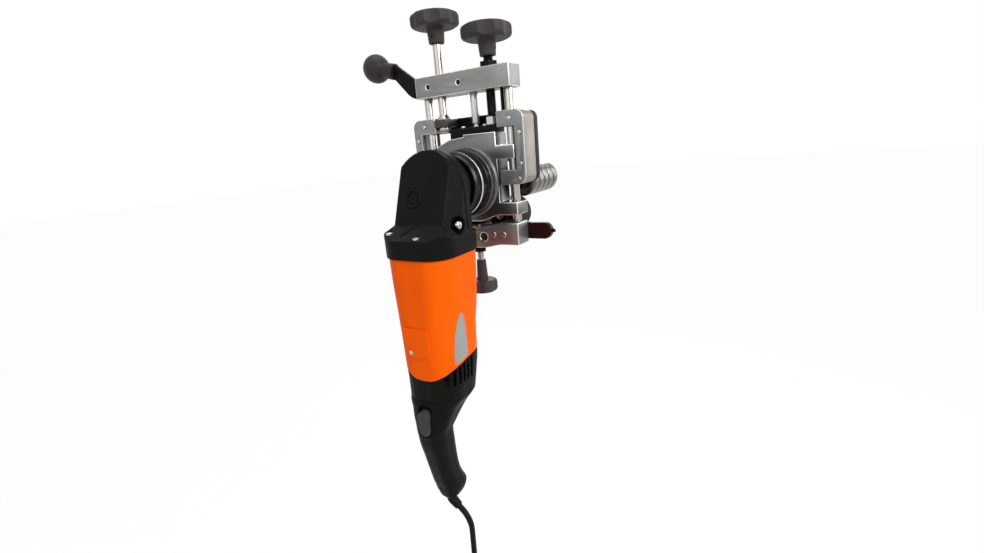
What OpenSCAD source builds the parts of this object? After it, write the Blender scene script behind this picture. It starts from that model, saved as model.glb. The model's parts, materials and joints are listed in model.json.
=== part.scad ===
// Portable pipe beveling machine: a hanging motor on a two-rod clamp that straddles a pipe wall.
// Millimetres, +Z up along the guide rods, +Y along the pipe axis, away from the operator.
// Origin: top of the pipe's outer surface, in the plane of the pipe's end face.

/* [Clamp frame] */
// Length of the crossbar
bar_len = 118; // [116:1:122]
// Depth of crossbar, main plate and bottom bar, front to back
bar_deep = 24; // [23:0.5:26]
// Height of the crossbar
bar_high = 22; // [18:1:26]
// Underside of the crossbar above the pipe
bar_z = 105; // [102:1:108]
// Diameter of the guide rods
rod_d = 10; // [8:0.5:10.5]
// Thickness of the end shoes between bottom bar and pipe end
shoe_t = 7; // [6:0.5:8]
// Diameter of the ball on the side handle
ball_d = 33; // [30:1:40]

/* [Screws and knobs] */
// Diameter of the clamp screw and the feed screw
screw_d = 10; // [8:0.5:10.5]
// Diameter of the two star knobs on top
knob_d = 52; // [46:1:56]
// Diameter of the small star knob below
stop_knob_d = 34; // [28:1:40]

/* [Rollers] */
// Diameter of the outer rollers
roller_d = 34; // [30:1:36]
// Length of the outer rollers
roller_len = 64; // [50:1:70]
// Diameter of the inner rollers
inner_d = 40; // [34:1:41]

/* [Motor] */
// Width of the motor flange
flange_w = 79; // [78:1:82]
// Width of the motor housing below the flange
motor_w = 76; // [73:1:76]
// Length of the rear handle
handle_len = 124; // [116:1:132]

/* [Cutter] */
// Largest diameter of the milling head
cutter_d = 41; // [36:1:46]
// Diameter of the spindle
spindle_d = 17; // [15:0.5:18]

/* [Cord] */
// Diameter of the mains cord
cord_d = 6.5; // [5.5:0.5:7]
// Loops in the tied hank of cord
hank_loops = 12; // [8:1:14]

/* [Fits] */
// Radial clearance of parts that slide or turn in each other
run_fit = 0.05; // [0.02:0.01:0.08]

/* [Hidden] */
$fn = 48;

// planes shared by crossbar, main plate and bottom bar
y_back = -shoe_t;
y_front = y_back - bar_deep;
y_rod = y_back - bar_deep/2;
rod_x = 51.5;
bar_top = bar_z + bar_high;

// bottom bar: the middle dips below the ends
low_top = -33;
low_bot = -57;
low_dip = 4;
hole_x = 14;
hole_z = -48.5;
hole_d = 9.5;

// pipe the rest pose is set for
pipe_r = 109.55;
pipe_wall = 6.5;
roll_x = 46;
roll_z = sqrt(pow(pipe_r + roller_d/2, 2) - roll_x*roll_x) - pipe_r;
in_x = inner_d/2 + 2;
in_z = sqrt(pow(pipe_r - pipe_wall - inner_d/2, 2) - in_x*in_x) - pipe_r;
axle_d = 8;
slide_gap = 0.8; // ears of the shoes clear of the sliding plate

// vertical screws
screw_y = y_rod - 2;
clamp_x = -31;
feed_x = 31;
clamp_knob_z = 158.5;
feed_knob_z = 137;

// roller carriage
c_in = 39.5;
c_web = 59.6;
c_out = 70;
c_low = 8;
c_low_top = 23;
c_up_bot = 67;
c_top = 83;
c_y0 = y_front + 2.5;
c_y1 = c_y0 + 2.5;
c_y2 = y_back + 4;
c_y3 = c_y2 + 9.5;
tie_z0 = 70;
tie_z1 = 82;
lug_z0 = 73;
lug_z1 = 81;
lug_y = screw_y - 9;
pin_x = rod_x - rod_d/2 - 3.1;
pin_d = 4;

// motor carriage
arm_x = 59;
core_x = 38;
mid_z0 = 35;
mid_z1 = 49;
foot_z0 = -24;
foot_z1 = -10.5;
plate_top = 63;
bracket_top = 70;
guide_x = 6;
guide_y = y_rod + 5;
guide_d = 9;
ax_z = 12;
nose_r = 26;
collar_r = 35.5;
collar_y = y_front - 9;
ring_y = collar_y - 17;
ring_end = ring_y - 9;
head_y = ring_end - 8;
flange_y = head_y - 13;
bear_r = 20;

// motor
mot_y = -107;
ledge_z = -30;
flange_z = -49;
lean = atan(0.37);
foot_y = -129.5;
cap_x = -9;
cap_r = 9.9;
cap_z = 5.7;
cap_y = foot_y + 0.37*(cap_z - ledge_z);
edge_z = -172;
bell_z = -197;
grip_z = -215;
grip_y = -131;
grip_end = grip_z - handle_len + 14;
switch_z = -219;
cord_y = -124;

// bevel drive
pin_pitch = 7;
crown_pitch = 21;
crown_teeth = 30;
pin_teeth = 10;
crown_y = mot_y + pin_pitch;

// cord path, hand set
boot_path = [[0, cord_y, grip_end+4], [0.2, cord_y, grip_end-1.5], [1.4, cord_y, grip_end-5.6],
  [5, cord_y, grip_end-9.1], [9.5, cord_y, grip_end-12.8]];
boot_radii = [[0, 5.4], [1, 5.5], [2, 5.5], [3, 5.2], [4, 4.7]];
boot_sizes = [for (i = [0:12]) lookup(i/3, boot_radii)];
hank_x = 35;
hank_h = 60;
hank_z = -520;
hank_pitch = cord_d + 0.8;
cord_points = [[9.5, cord_y, grip_end-12.8], [13.5, cord_y, grip_end-16.1], [17.2, cord_y, grip_end-19.8],
  [20.1, cord_y, grip_end-24.1], [22.3, cord_y, grip_end-28.8], [23.7, cord_y, grip_end-33.8],
  [24.1, cord_y, grip_end-39], [24.1, cord_y, grip_end-44.3], [23.9, cord_y, grip_end-56],
  [23.6, cord_y, grip_end-78], [24.8, cord_y, -428], [28.4, cord_y, -450], [32.8, cord_y, -472],
  [hank_x, cord_y, -494], [hank_x, cord_y, hank_z + 0.3]];
tail_y = cord_y - hank_pitch*hank_loops;
tail_z = hank_z - 120;

// cylinder along Y from y0 to y1
module rod_along_y(r, y0, y1, x, z) {
  translate([x, y0, z]) rotate([-90, 0, 0]) cylinder(r = r, h = y1 - y0);
}

// cylinder along X from x0 to x1
module rod_along_x(r, x0, x1, y, z) {
  translate([x0, y, z]) rotate([0, 90, 0]) cylinder(r = r, h = x1 - x0);
}

// upright cylinder from z0 to z1
module rod_up(r, z0, z1, x, y) {
  translate([x, y, z0]) cylinder(r = r, h = z1 - z0);
}

// outline drawn in X and Z, given thickness from y0 to y1
module slab(y0, y1) {
  translate([0, y1, 0]) rotate([90, 0, 0]) linear_extrude(y1 - y0) children();
}

// profile of radius and Y turned about an axis along Y
module turned_y(x, z) {
  translate([x, 0, z]) rotate([-90, 0, 0]) rotate_extrude() children();
}

// rounded rectangle ring of points at height z
function ring(cx, cy, hx, hy, rc, z, m = 7) = [
  for (k = [0:3])
    for (j = [0:m-1])
      let (a = 90*k + 90*j/(m-1), sx = (k == 0 || k == 3) ? 1 : -1, sy = k < 2 ? 1 : -1)
        [cx + sx*(hx-rc) + rc*cos(a), cy + sy*(hy-rc) + rc*sin(a), z]];

// solid through a stack of rings, lowest first
module loft(rings) {
  m = len(rings[0]);
  n = len(rings);
  polyhedron(
    points = [for (r = rings) each r],
    faces = concat(
      [[for (i = [0:m-1]) i]],
      [[for (i = [m-1:-1:0]) (n-1)*m + i]],
      [for (k = [0:n-2]) for (i = [0:m-1]) [k*m + i, (k+1)*m + i, (k+1)*m + (i+1)%m]],
      [for (k = [0:n-2]) for (i = [0:m-1]) [k*m + i, (k+1)*m + (i+1)%m, k*m + (i+1)%m]]));
}

// round rings along a path whose tangent never runs along Y
function unit(v) = v/norm(v);
function way(p, i) = unit(p[min(i+1, len(p)-1)] - p[max(i-1, 0)]);
function tube_rings(p, radii, sides) = [
  for (i = [0:len(p)-1])
    let (t = way(p, i), u = unit(cross(t, [0, 1, 0])), v = cross(t, u))
      [for (j = [0:sides-1]) p[i] + radii[i]*(cos(360*j/sides)*u + sin(360*j/sides)*v)]];

// smooth curve through hand set points
function bend(a, b, c, d, t) = 0.5*((2*b) + (c-a)*t + (2*a-5*b+4*c-d)*t*t + (3*b-a-3*c+d)*t*t*t);
function before(p, i) = i > 0 ? p[i-1] : 2*p[0] - p[1];
function after(p, i) = i < len(p) ? p[i] : 2*p[i-1] - p[i-2];
function smooth(p, steps) = concat([
  for (i = [0:len(p)-2]) for (k = [0:steps-1])
    bend(before(p, i), p[i], p[i+1], after(p, i+2), k/steps)], [p[len(p)-1]]);

// star knob: scalloped head on a tapering collar, standing on z0
module star(d, z0, collar_top, head_high, collar_bot_r, collar_top_r, lobes) {
  cut = d*0.3;
  rod = d/2 + cut*0.78;
  translate([0, 0, z0]) {
    cylinder(r1 = collar_bot_r, r2 = collar_top_r, h = collar_top + 0.5);
    translate([0, 0, collar_top]) intersection() {
      rotate_extrude() polygon([[0, 0], [d*0.41, 0], [d*0.475, head_high*0.1], [d/2, head_high*0.24],
        [d/2, head_high*0.76], [d*0.475, head_high*0.92], [d*0.42, head_high], [0, head_high]]);
      linear_extrude(head_high) difference() {
        circle(r = d/2);
        for (i = [0:lobes-1]) rotate(360*i/lobes) translate([rod, 0]) circle(r = cut);
      }
    }
  }
}

// frame
module crossbar() {
  color([0.75, 0.75, 0.74]) difference() {
    translate([-bar_len/2, y_front, bar_z]) cube([bar_len, bar_deep, bar_high]);
    for (s = [-1, 1]) rod_up(rod_d/2, bar_z - 1, bar_top + 1, s*rod_x, y_rod);
    for (x = [clamp_x, feed_x]) rod_up(screw_d/2 + run_fit, bar_z - 1, bar_top + 1, x, screw_y);
    rod_up(guide_d/2 + run_fit, bar_z - 1, bar_top + 1, guide_x, guide_y);
    rod_up(pin_d/2 + run_fit, bar_z - 1, bar_top + 1, pin_x, y_rod);
    for (x = [-42, -2]) rod_along_y(2.5, y_front - 1, y_front + 10, x, bar_z + bar_high/2);
    for (x = [-55, -40]) rod_along_y(2, y_back - 5, y_back + 1, x, bar_z + bar_high/2);
  }
}

module guide_rods() {
  color([0.8, 0.8, 0.8]) for (s = [-1, 1]) rod_up(rod_d/2, low_bot, bar_top, s*rod_x, y_rod);
}

function dip(x) = low_dip*(1 + cos(180*min(max((abs(x)-12)/26, 0), 1)))/2;

module bottom_bar() {
  xs = [for (k = [-29:29]) k*2];
  color([0.75, 0.75, 0.74]) difference() {
    slab(y_front, y_back) polygon(concat(
      [for (x = xs) [x, low_bot - dip(x)]],
      [for (i = [len(xs)-1:-1:0]) [xs[i], low_top - dip(xs[i])]]));
    for (s = [-1, 1]) {
      rod_up(rod_d/2, low_bot - 1, low_top + 1, s*rod_x, y_rod);
      rod_along_y(hole_d/2, y_front - 1, y_back + 1, s*hole_x, hole_z);
      for (x = [27, 40]) rod_along_y(2, y_front - 1, y_back + 1, s*x, -45.5);
    }
    rod_up(4 + run_fit, -70, -30, 0, y_rod);
    rod_up(6 + 0.3, -49, -30, 0, y_rod);
  }
}

module hex_nut(af, hole, z0, z1, x, y) {
  translate([x, y, z0]) difference() {
    cylinder(d = af/cos(30), h = z1 - z0, $fn = 6);
    translate([0, 0, -1]) cylinder(r = hole, h = z1 - z0 + 2);
  }
}

module jam_nuts() {
  color([0.2, 0.2, 0.2]) {
    hex_nut(17, screw_d/2 + run_fit, bar_top, bar_top + 5, feed_x, screw_y);
    hex_nut(13, 4 + run_fit, low_bot - low_dip - 7, low_bot - low_dip, 0, y_rod);
  }
}

arm_z = bar_z + bar_high/2;

// flat arm: a tail on the crossbar's back, widest at the bend, then a slope up to the ball
arm_end = [-bar_len/2 - 46.85, arm_z + 26.4];

module arm_body() {
  b = -bar_len/2;
  slab(y_back, y_back + 6) polygon(concat([[b - 19.2, arm_z + 14.5], [b - 9, arm_z + 7],
    [b + 30, arm_z + 7], [b + 30, arm_z - 7], [b - 18, arm_z - 7], [b - 22, arm_z - 6.4],
    [b - 26, arm_z - 4.7], [b - 30.1, arm_z - 1.8]],
    [for (a = [222:-13:53]) arm_end + 7*[cos(a), sin(a)]]));
}

module handle_arm() {
  color([0.1, 0.1, 0.1]) difference() {
    arm_body();
    for (x = [-55, -40]) rod_along_y(2, y_back - 1, y_back + 7, x, arm_z);
  }
}

module ball_knob() {
  middle = ball_d/2 + 14.9;
  color([0.2, 0.18, 0.17]) difference() {
    translate([arm_end[0], y_back + 3, arm_end[1]]) rotate([0, -75.4, 0]) rotate_extrude() polygon(concat(
      [[0, 2], [9.2, 2], [8.9, 17]],
      [for (a = [-57:7:83]) [ball_d/2*cos(a), middle + ball_d/2*sin(a)]],
      [[0, middle + ball_d/2]]));
    arm_body();
  }
}

module end_shoes() {
  color([0.25, 0.04, 0.04]) for (s = [-1, 1]) difference() {
    union() {
      slab(y_back, 0) {
        translate([min(s*16, s*77), -54]) square([61, 18]);
        translate([s*77, -45]) circle(r = 9);
      }
      slab(y_back + slide_gap, 0) {
        translate([s*in_x, in_z]) circle(r = 8);
        translate([s*in_x - 8, -45]) square([16, in_z + 45]);
      }
    }
    rod_along_y(axle_d/2, y_back - 1, 1, s*in_x, in_z);
    for (x = [27, 40]) rod_along_y(2, y_back - 1, -2, s*x, -45.5);
    rod_along_x(2, min(s*80, s*87), max(s*80, s*87), y_back/2, -45);
  }
}

module frame_screws() {
  color([0.7, 0.7, 0.7]) {
    for (x = [-55, -40]) {
      rod_along_y(2, y_back - 5, y_back + 6, x, arm_z);
      rod_along_y(4, y_back + 6, y_back + 9, x, arm_z);
    }
    for (s = [-1, 1]) {
      for (x = [27, 40]) {
        rod_along_y(2, y_front, -2, s*x, -45.5);
        rod_along_y(3.3, y_front - 1.6, y_front, s*x, -45.5);
      }
      rod_along_x(2, min(s*80, s*89), max(s*80, s*89), y_back/2, -45);
    }
  }
}

module inner_axles() {
  color([0.5, 0.5, 0.5]) for (s = [-1, 1]) {
    rod_along_y(axle_d/2, y_back + slide_gap, 40, s*in_x, in_z);
    rod_along_y(axle_d/2 + 3, 37, 41, s*in_x, in_z);
    rod_along_y(axle_d/2 + 3, 0, 3, s*in_x, in_z);
  }
}

module inner_roller(s) {
  color([0.18, 0.18, 0.18]) turned_y(s*in_x, in_z) polygon([[axle_d/2 + run_fit, 3.4],
    [inner_d/2 - 1.5, 3.4], [inner_d/2, 4.9], [inner_d/2, 35.1], [inner_d/2 - 1.5, 36.6],
    [axle_d/2 + run_fit, 36.6]]);
}

module inner_roller_left() {
  inner_roller(-1);
}

module inner_roller_right() {
  inner_roller(1);
}

module stop_pad() {
  color([0.6, 0.55, 0.35]) difference() {
    rod_up(6, -42.5, -36.5, 0, y_rod);
    rod_up(2.5 + run_fit, -43, -38.5, 0, y_rod);
  }
}

module stop_screw() {
  color([0.15, 0.15, 0.15]) {
    rod_up(4, -90, -43, 0, y_rod);
    rod_up(2.5, -43.5, -39, 0, y_rod);
  }
}

module stop_knob() {
  color([0.08, 0.08, 0.08]) difference() {
    translate([0, y_rod, -98]) mirror([0, 0, 1]) translate([0, 0, -20])
      star(stop_knob_d, 0, 24, 14, 5.4, 6.6, 5);
    rod_up(4, -90, -60, 0, y_rod);
  }
}

// roller carriage
module c_outline(s) {
  r = 9;
  mirror([s < 0 ? 1 : 0, 0, 0]) difference() {
    union() {
      translate([c_in, c_low]) square([c_out - r - c_in, c_top - c_low]);
      translate([c_in, c_low + r]) square([c_out - c_in, c_top - c_low - 2*r]);
      for (z = [c_low + r, c_top - r]) translate([c_out - r, z]) circle(r = r);
    }
    translate([c_in - 1, c_low_top]) square([c_web - c_in + 1, c_up_bot - c_low_top]);
  }
}

screw_spots = [[54.5, 75], [65, 60], [65, 29], [62, 14]];

module c_block(s) {
  color([0.72, 0.68, 0.6]) difference() {
    slab(c_y1, c_y2) c_outline(s);
    rod_up(rod_d/2 + run_fit, 0, 90, s*rod_x, y_rod);
    for (p = screw_spots) {
      rod_along_y(1.25, c_y1 - 1, c_y1 + (p[0] < 58 ? 1.2 : 6), s*p[0], p[1]);
      if (p[0] > 58) rod_along_y(1.25, c_y2 - 6, c_y2 + 1, s*p[0], p[1]);
    }
    if (s > 0) rod_up(pin_d/2, c_top - 8, c_top + 1, pin_x, y_rod);
    translate([s > 0 ? c_in - 1 : -45, y_back + 0.5, tie_z0]) cube([6.5, 13, tie_z1 - tie_z0]);
  }
}

module c_block_left() {
  c_block(-1);
}

module c_block_right() {
  c_block(1);
}

module front_plate(s) {
  color([0.45, 0.46, 0.48]) difference() {
    slab(c_y0, c_y1) c_outline(s);
    for (p = screw_spots) rod_along_y(1.25, c_y0 - 1, c_y1 + 1, s*p[0], p[1]);
  }
}

module front_plate_left() {
  front_plate(-1);
}

module front_plate_right() {
  front_plate(1);
}

module rear_plate(s) {
  color([0.13, 0.13, 0.13]) difference() {
    slab(c_y2, c_y3) {
      c_outline(s);
      translate([s*roll_x, roll_z]) circle(r = 8.5);
      translate([s*roll_x - 8.5 + (s > 0 ? 2 : 0), roll_z]) square([15, c_low_top - roll_z]);
    }
    rod_along_y(axle_d/2, c_y2 - 1, c_y3 + 1, s*roll_x, roll_z);
    for (p = screw_spots) if (p[0] > 58) rod_along_y(1.25, c_y2 - 1, c_y3 + 1, s*p[0], p[1]);
    translate([s > 0 ? c_in - 1 : -45, y_back + 0.5, tie_z0]) cube([6.5, 13, tie_z1 - tie_z0]);
  }
}

module rear_plate_left() {
  rear_plate(-1);
}

module rear_plate_right() {
  rear_plate(1);
}

module tie_bar() {
  color([0.08, 0.08, 0.08]) difference() {
    translate([-45, y_back + 0.5, tie_z0]) cube([90, 13, tie_z1 - tie_z0]);
    for (x = [-36, -26]) rod_along_y(1.5, y_back - 1, y_back + 8, x, (lug_z0 + lug_z1)/2);
  }
}

module screw_lug() {
  color([0.35, 0.3, 0.25]) difference() {
    translate([-c_in + 0.3, lug_y, lug_z0]) cube([c_in - 21.8, y_back + 0.5 - lug_y, lug_z1 - lug_z0]);
    rod_up(screw_d/2 - 1.5 + run_fit, lug_z0 - 1, lug_z1 + 1, clamp_x, screw_y);
    for (x = [-36, -26]) rod_along_y(1.5, y_back - 4, y_back + 2, x, (lug_z0 + lug_z1)/2);
  }
}

module slide_pin() {
  color([0.3, 0.3, 0.3]) rod_up(pin_d/2, c_top - 8, bar_z + 13, pin_x, y_rod);
}

module roller_axles() {
  color([0.5, 0.5, 0.5]) for (s = [-1, 1]) {
    rod_along_y(axle_d/2, c_y2, c_y3 + roller_len + 5, s*roll_x, roll_z);
    rod_along_y(axle_d/2 + 2.5, c_y3, c_y3 + 1.2, s*roll_x, roll_z);
    rod_along_y(axle_d/2 + 3, c_y3 + roller_len + 2, c_y3 + roller_len + 5, s*roll_x, roll_z);
  }
}

module carriage_screws() {
  color([0.75, 0.75, 0.75]) {
    for (s = [-1, 1]) for (p = screw_spots) {
      rod_along_y(1.25, c_y0, c_y1 + (p[0] < 58 ? 1.2 : 6), s*p[0], p[1]);
      rod_along_y(2, c_y0 - 1.2, c_y0, s*p[0], p[1]);
      if (p[0] > 58) {
        rod_along_y(1.25, c_y2 - 6, c_y3, s*p[0], p[1]);
        rod_along_y(2.4, c_y3, c_y3 + 1.2, s*p[0], p[1]);
      }
    }
    for (x = [-36, -26]) rod_along_y(1.5, y_back - 4, y_back + 8, x, (lug_z0 + lug_z1)/2);
  }
}

module outer_roller(s) {
  r = roller_d/2;
  y0 = c_y3 + 1.5;
  w = roller_len/5;
  color([0.7, 0.7, 0.68]) turned_y(s*roll_x, roll_z) polygon(concat(
    [[axle_d/2 + run_fit, y0]],
    [for (i = [0:4]) each [[r - 2, y0 + i*w], [r - 0.8, y0 + i*w + 0.4], [r, y0 + i*w + 1.2],
      [r, y0 + (i+1)*w - 2.4], [r - 0.8, y0 + (i+1)*w - 1.6], [r - 2, y0 + (i+1)*w - 1.2]]],
    [[r - 2, y0 + 5*w], [axle_d/2 + run_fit, y0 + 5*w]]));
}

module outer_roller_left() {
  outer_roller(-1);
}

module outer_roller_right() {
  outer_roller(1);
}

module clamp_screw() {
  r = screw_d/2;
  color([0.8, 0.8, 0.79]) {
    rod_up(r, lug_z1 + 4, clamp_knob_z + 12, clamp_x, screw_y);
    translate([clamp_x, screw_y, lug_z1 + 0.2]) cylinder(r1 = r + 3.2, r2 = r, h = 5);
    rod_up(r - 1.5, lug_z0 - 3, lug_z1 + 1, clamp_x, screw_y);
    rod_up(r + 1.8, lug_z0 - 3.2, lug_z0 - 0.2, clamp_x, screw_y);
  }
}

module top_knob(x, z0, turn) {
  difference() {
    translate([x, screw_y, 0]) star(knob_d, z0, 15.5, 14, 8.3, 9.6, 6);
    rod_up(screw_d/2, z0 - 1, z0 + 12, x, screw_y);
    translate([x, screw_y, z0 + 7]) rotate([90, 0, turn]) translate([0, 0, screw_d/2 + 1])
      cylinder(r = 1.6, h = 8);
  }
}

module clamp_knob() {
  color([0.08, 0.08, 0.08]) top_knob(clamp_x, clamp_knob_z, 0);
}

// motor carriage
module main_plate() {
  xs = [for (k = [-19:19]) k*2];
  color([0.5, 0.51, 0.52]) difference() {
    union() {
      slab(y_front, y_back) {
        polygon(concat([for (x = xs) [x, foot_z0 - 7*(1 + cos(180*min(max((abs(x)-10)/28, 0), 1)))/2]],
          [[core_x, plate_top], [-2, plate_top], [-2, 60.5], [-21, 58.8], [-core_x, 52]]));
        for (s = [-1, 1]) for (z = [[mid_z0, mid_z1], [foot_z0, foot_z1]])
          translate([min(s*(core_x - 1), s*arm_x), z[0]]) square([arm_x - core_x + 1, z[1] - z[0]]);
      }
      turned_y(0, ax_z) polygon([[0, y_front + 1], [core_x - 0.2, y_front + 1], [core_x - 0.2, y_front],
        [core_x - 1.2, y_front - 1], [core_x - 1.9, y_front - 2.6], [core_x - 2.3, y_front - 5],
        [collar_r, y_front - 9], [0, y_front - 9]]);
    }
    for (s = [-1, 1]) rod_up(rod_d/2 + run_fit, -40, 60, s*rod_x, y_rod);
    rod_along_y(bear_r, y_front + 6, y_back + 1, 0, ax_z);
    rod_along_y(nose_r, y_front - 10, y_front - 2, 0, ax_z);
    rod_along_y(spindle_d/2 + 3, y_front - 10, y_back + 1, 0, ax_z);
    for (x = [-8, 20]) rod_up(1.5, plate_top - 9, plate_top + 1, x, y_rod);
    for (a = [45, 90, 135]) rod_along_y(1.5, y_back - 6, y_back + 1, 33*cos(a), ax_z + 33*sin(a));
  }
}

module feed_bracket() {
  color([0.07, 0.07, 0.07]) difference() {
    slab(y_front + 4, y_back - 2) polygon([[-21, 58.8], [-2, 60.5], [-2, plate_top], [core_x, plate_top],
      [core_x, bracket_top], [-21, bracket_top]]);
    rod_up(screw_d/2 - 1.5 + run_fit, plate_top - 1, bracket_top + 1, feed_x, screw_y);
    rod_up(guide_d/2 - 2, plate_top - 1, bracket_top + 1, guide_x, guide_y);
    for (x = [-8, 20]) rod_up(1.5, plate_top - 5, bracket_top + 1, x, y_rod);
  }
}

module guide_pin() {
  color([0.6, 0.6, 0.6]) {
    rod_up(guide_d/2, bracket_top + 4, bar_z + 9, guide_x, guide_y);
    rod_up(guide_d/2 - 2, plate_top, bracket_top + 5, guide_x, guide_y);
    rod_up(guide_d/2 - 0.5, bracket_top, bracket_top + 1.5, guide_x, guide_y);
  }
}

module neck_collar() {
  color([0.2, 0.17, 0.16]) turned_y(0, ax_z) polygon([[nose_r, collar_y], [collar_r, collar_y],
    [collar_r, collar_y - 6], [collar_r - 1, collar_y - 7], [collar_r - 1, ring_y + 3],
    [collar_r - 2, ring_y], [nose_r, ring_y]]);
}

module clamp_ring() {
  color([0.35, 0.35, 0.36]) difference() {
    turned_y(0, ax_z) polygon([[nose_r + 0.03, ring_y], [33, ring_y], [33, ring_end + 3], [31, ring_end],
      [nose_r + 0.03, ring_end]]);
    translate([-1.2, ring_end - 1, ax_z + nose_r - 2]) cube([2.4, 11, 14]);
    rod_along_x(1.6, -9, 9, ring_y - 4.5, ax_z + 29.5);
  }
}

module chip_guard() {
  color([0.08, 0.08, 0.08]) difference() {
    rod_along_y(40, y_back, 24, 0, ax_z);
    rod_along_y(cutter_d/2 + 6, y_back - 1, 20, 0, ax_z);
    rod_along_y(spindle_d/2 + 4, 19, 25, 0, ax_z);
    translate([-50, y_back - 1, -60]) cube([100, 40, 91]);
    for (a = [45, 90, 135]) rod_along_y(1.5, y_back - 1, y_back + 8, 33*cos(a), ax_z + 33*sin(a));
  }
}

module race(r_in, r_out, h) {
  difference() {
    cylinder(r = r_out, h = h);
    translate([0, 0, -1]) cylinder(r = r_in, h = h + 2);
  }
}

module bearings() {
  color([0.6, 0.6, 0.6]) {
    translate([0, y_front + 8, ax_z]) rotate([-90, 0, 0]) race(spindle_d/2 + run_fit, bear_r, 12);
    translate([0, flange_y + 3, ax_z]) rotate([-90, 0, 0]) race(spindle_d/2 + run_fit, 18, 10);
    translate([0, mot_y, -44]) race(6 + run_fit, 14, 10);
    translate([0, mot_y, -178]) race(4 + run_fit, 11, 8);
  }
}

// outline of the gear head seen from the front
module head_outline(g) {
  translate([0, ax_z + 1]) circle(r = 37 - g);
  polygon([[-37 + g, ax_z + 1], [-38 + g, ledge_z - 4], [38 - g, ledge_z - 4], [37 - g, ax_z + 1]]);
}

// sloping shelf between the flange's front edge and the foot of the front face
module ledge_slope() {
  intersection() {
    translate([0, 0, ledge_z - 1]) linear_extrude(13) flange_outline(flange_w/2, 25);
    translate([-60, -160, -60]) cube([120, 44, 60]);
    translate([0, -145, ledge_z]) rotate([atan(0.55), 0, 0]) translate([-60, -10, -60]) cube([120, 80, 60]);
    translate([flange_w/2, 0, ledge_z]) rotate([0, 48, 0]) translate([-100, -200, -80]) cube([120, 200, 80]);
    mirror([1, 0, 0]) translate([flange_w/2, 0, ledge_z]) rotate([0, 48, 0]) translate([-100, -200, -80])
      cube([120, 200, 80]);
  }
}

// everything behind one corner plane of the leaning front
module behind_corner() {
  translate([0, foot_y, ledge_z]) rotate([-lean, 0, 0]) translate([29.3, 0, 0]) rotate([0, 0, 62])
    translate([-70, 0, -60]) cube([210, 140, 180]);
}

module gear_head() {
  color([0.08, 0.08, 0.08]) difference() {
    union() {
      intersection() {
        slab(mot_y - 36, flange_y) head_outline(0);
        translate([-60, foot_y, ledge_z]) rotate([-lean, 0, 0]) translate([0, 0, -40]) cube([120, 80, 140]);
        behind_corner();
        mirror([1, 0, 0]) behind_corner();
      }
      rod_along_y(31, flange_y - 4, head_y, 0, ax_z);
      rod_along_y(nose_r, head_y - 1, y_front - 2, 0, ax_z);
      translate([0, 0, flange_z]) linear_extrude(ledge_z - flange_z) flange_outline(flange_w/2, 25);
      ledge_slope();
    }
    rod_along_y(crown_pitch + 4, mot_y + 5, flange_y - 3, 0, ax_z);
    rod_along_y(18, flange_y - 4, flange_y + 13, 0, ax_z);
    rod_along_y(spindle_d/2 + 3, flange_y, y_front, 0, ax_z);
    rod_up(9.5, -35, -3, 0, mot_y);
    rod_up(14, -50, -34, 0, mot_y);
    rod_along_x(8.2, 28.5, 50, -109, -21);
    rod_along_x(2.6, 8, 50, -109, -21);
    translate([cap_x, cap_y, cap_z]) rotate([-90 - lean, 0, 0]) translate([0, 0, -1])
      cylinder(r = cap_r, h = 3.5);
    for (p = flange_spots) rod_up(2, p[2] - 18, p[2] + 2, p[0], p[1]);
    for (p = flange_spots) rod_up(3.6, p[2] - 1.2, p[2] + 6, p[0], p[1]);
    translate([-11.4, -136.9, -28]) rotate([0, 0, -37]) rotate([24, 0, 0]) cube([3.4, 17, 7]);
  }
}

// flange screws: place and height of the surface they sit on
flange_spots = [[-27, -136.5, -25.3], [10, -141.5, -28.1], [31, mot_y + 21, ledge_z],
  [-31, mot_y + 21, ledge_z]];

module flange_outline(h, rc) {
  translate([0, mot_y]) {
    square([2*h, 2*(h - rc)], center = true);
    square([2*(h - rc), 2*h], center = true);
    for (a = [-1, 1]) for (b = [-1, 1]) translate([a*(h - rc), b*(h - rc)]) circle(r = rc);
  }
}

module head_cap() {
  color([0.1, 0.1, 0.1]) translate([cap_x, cap_y, cap_z])
    rotate([-90 - lean, 0, 0]) rotate_extrude() polygon([[0, 2.5], [cap_r, 2.5], [cap_r, 0.2],
      [cap_r - 1, -0.7], [7.6, -0.7], [7.2, 1], [5.2, 1], [5, 0.3], [1.3, 0.3], [1.3, 1.3], [0, 1.3]]);
}

module motor_screws() {
  color([0.75, 0.75, 0.75]) {
    for (p = flange_spots) {
      rod_up(2, p[2] - 18, p[2] - 1.2, p[0], p[1]);
      rod_up(3.5, p[2] - 1.2, p[2] + 0.8, p[0], p[1]);
    }
    for (x = [-8, 20]) {
      rod_up(1.5, plate_top - 9, bracket_top, x, y_rod);
      rod_up(2.8, bracket_top, bracket_top + 2, x, y_rod);
    }
    for (a = [45, 90, 135]) rod_along_y(1.5, y_back - 6, y_back + 8, 33*cos(a), ax_z + 33*sin(a));
    rod_along_x(1.6, -9, 9, ring_y - 4.5, ax_z + 29.5);
    rod_along_y(1.5, mot_y - motor_w/2 - 2.5, mot_y - motor_w/2 + 8, -10, -143.5);
    rod_along_y(1.5, mot_y + motor_w/2 - 13, mot_y + motor_w/2 - 2.6, 0, -141);
  }
}

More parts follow.
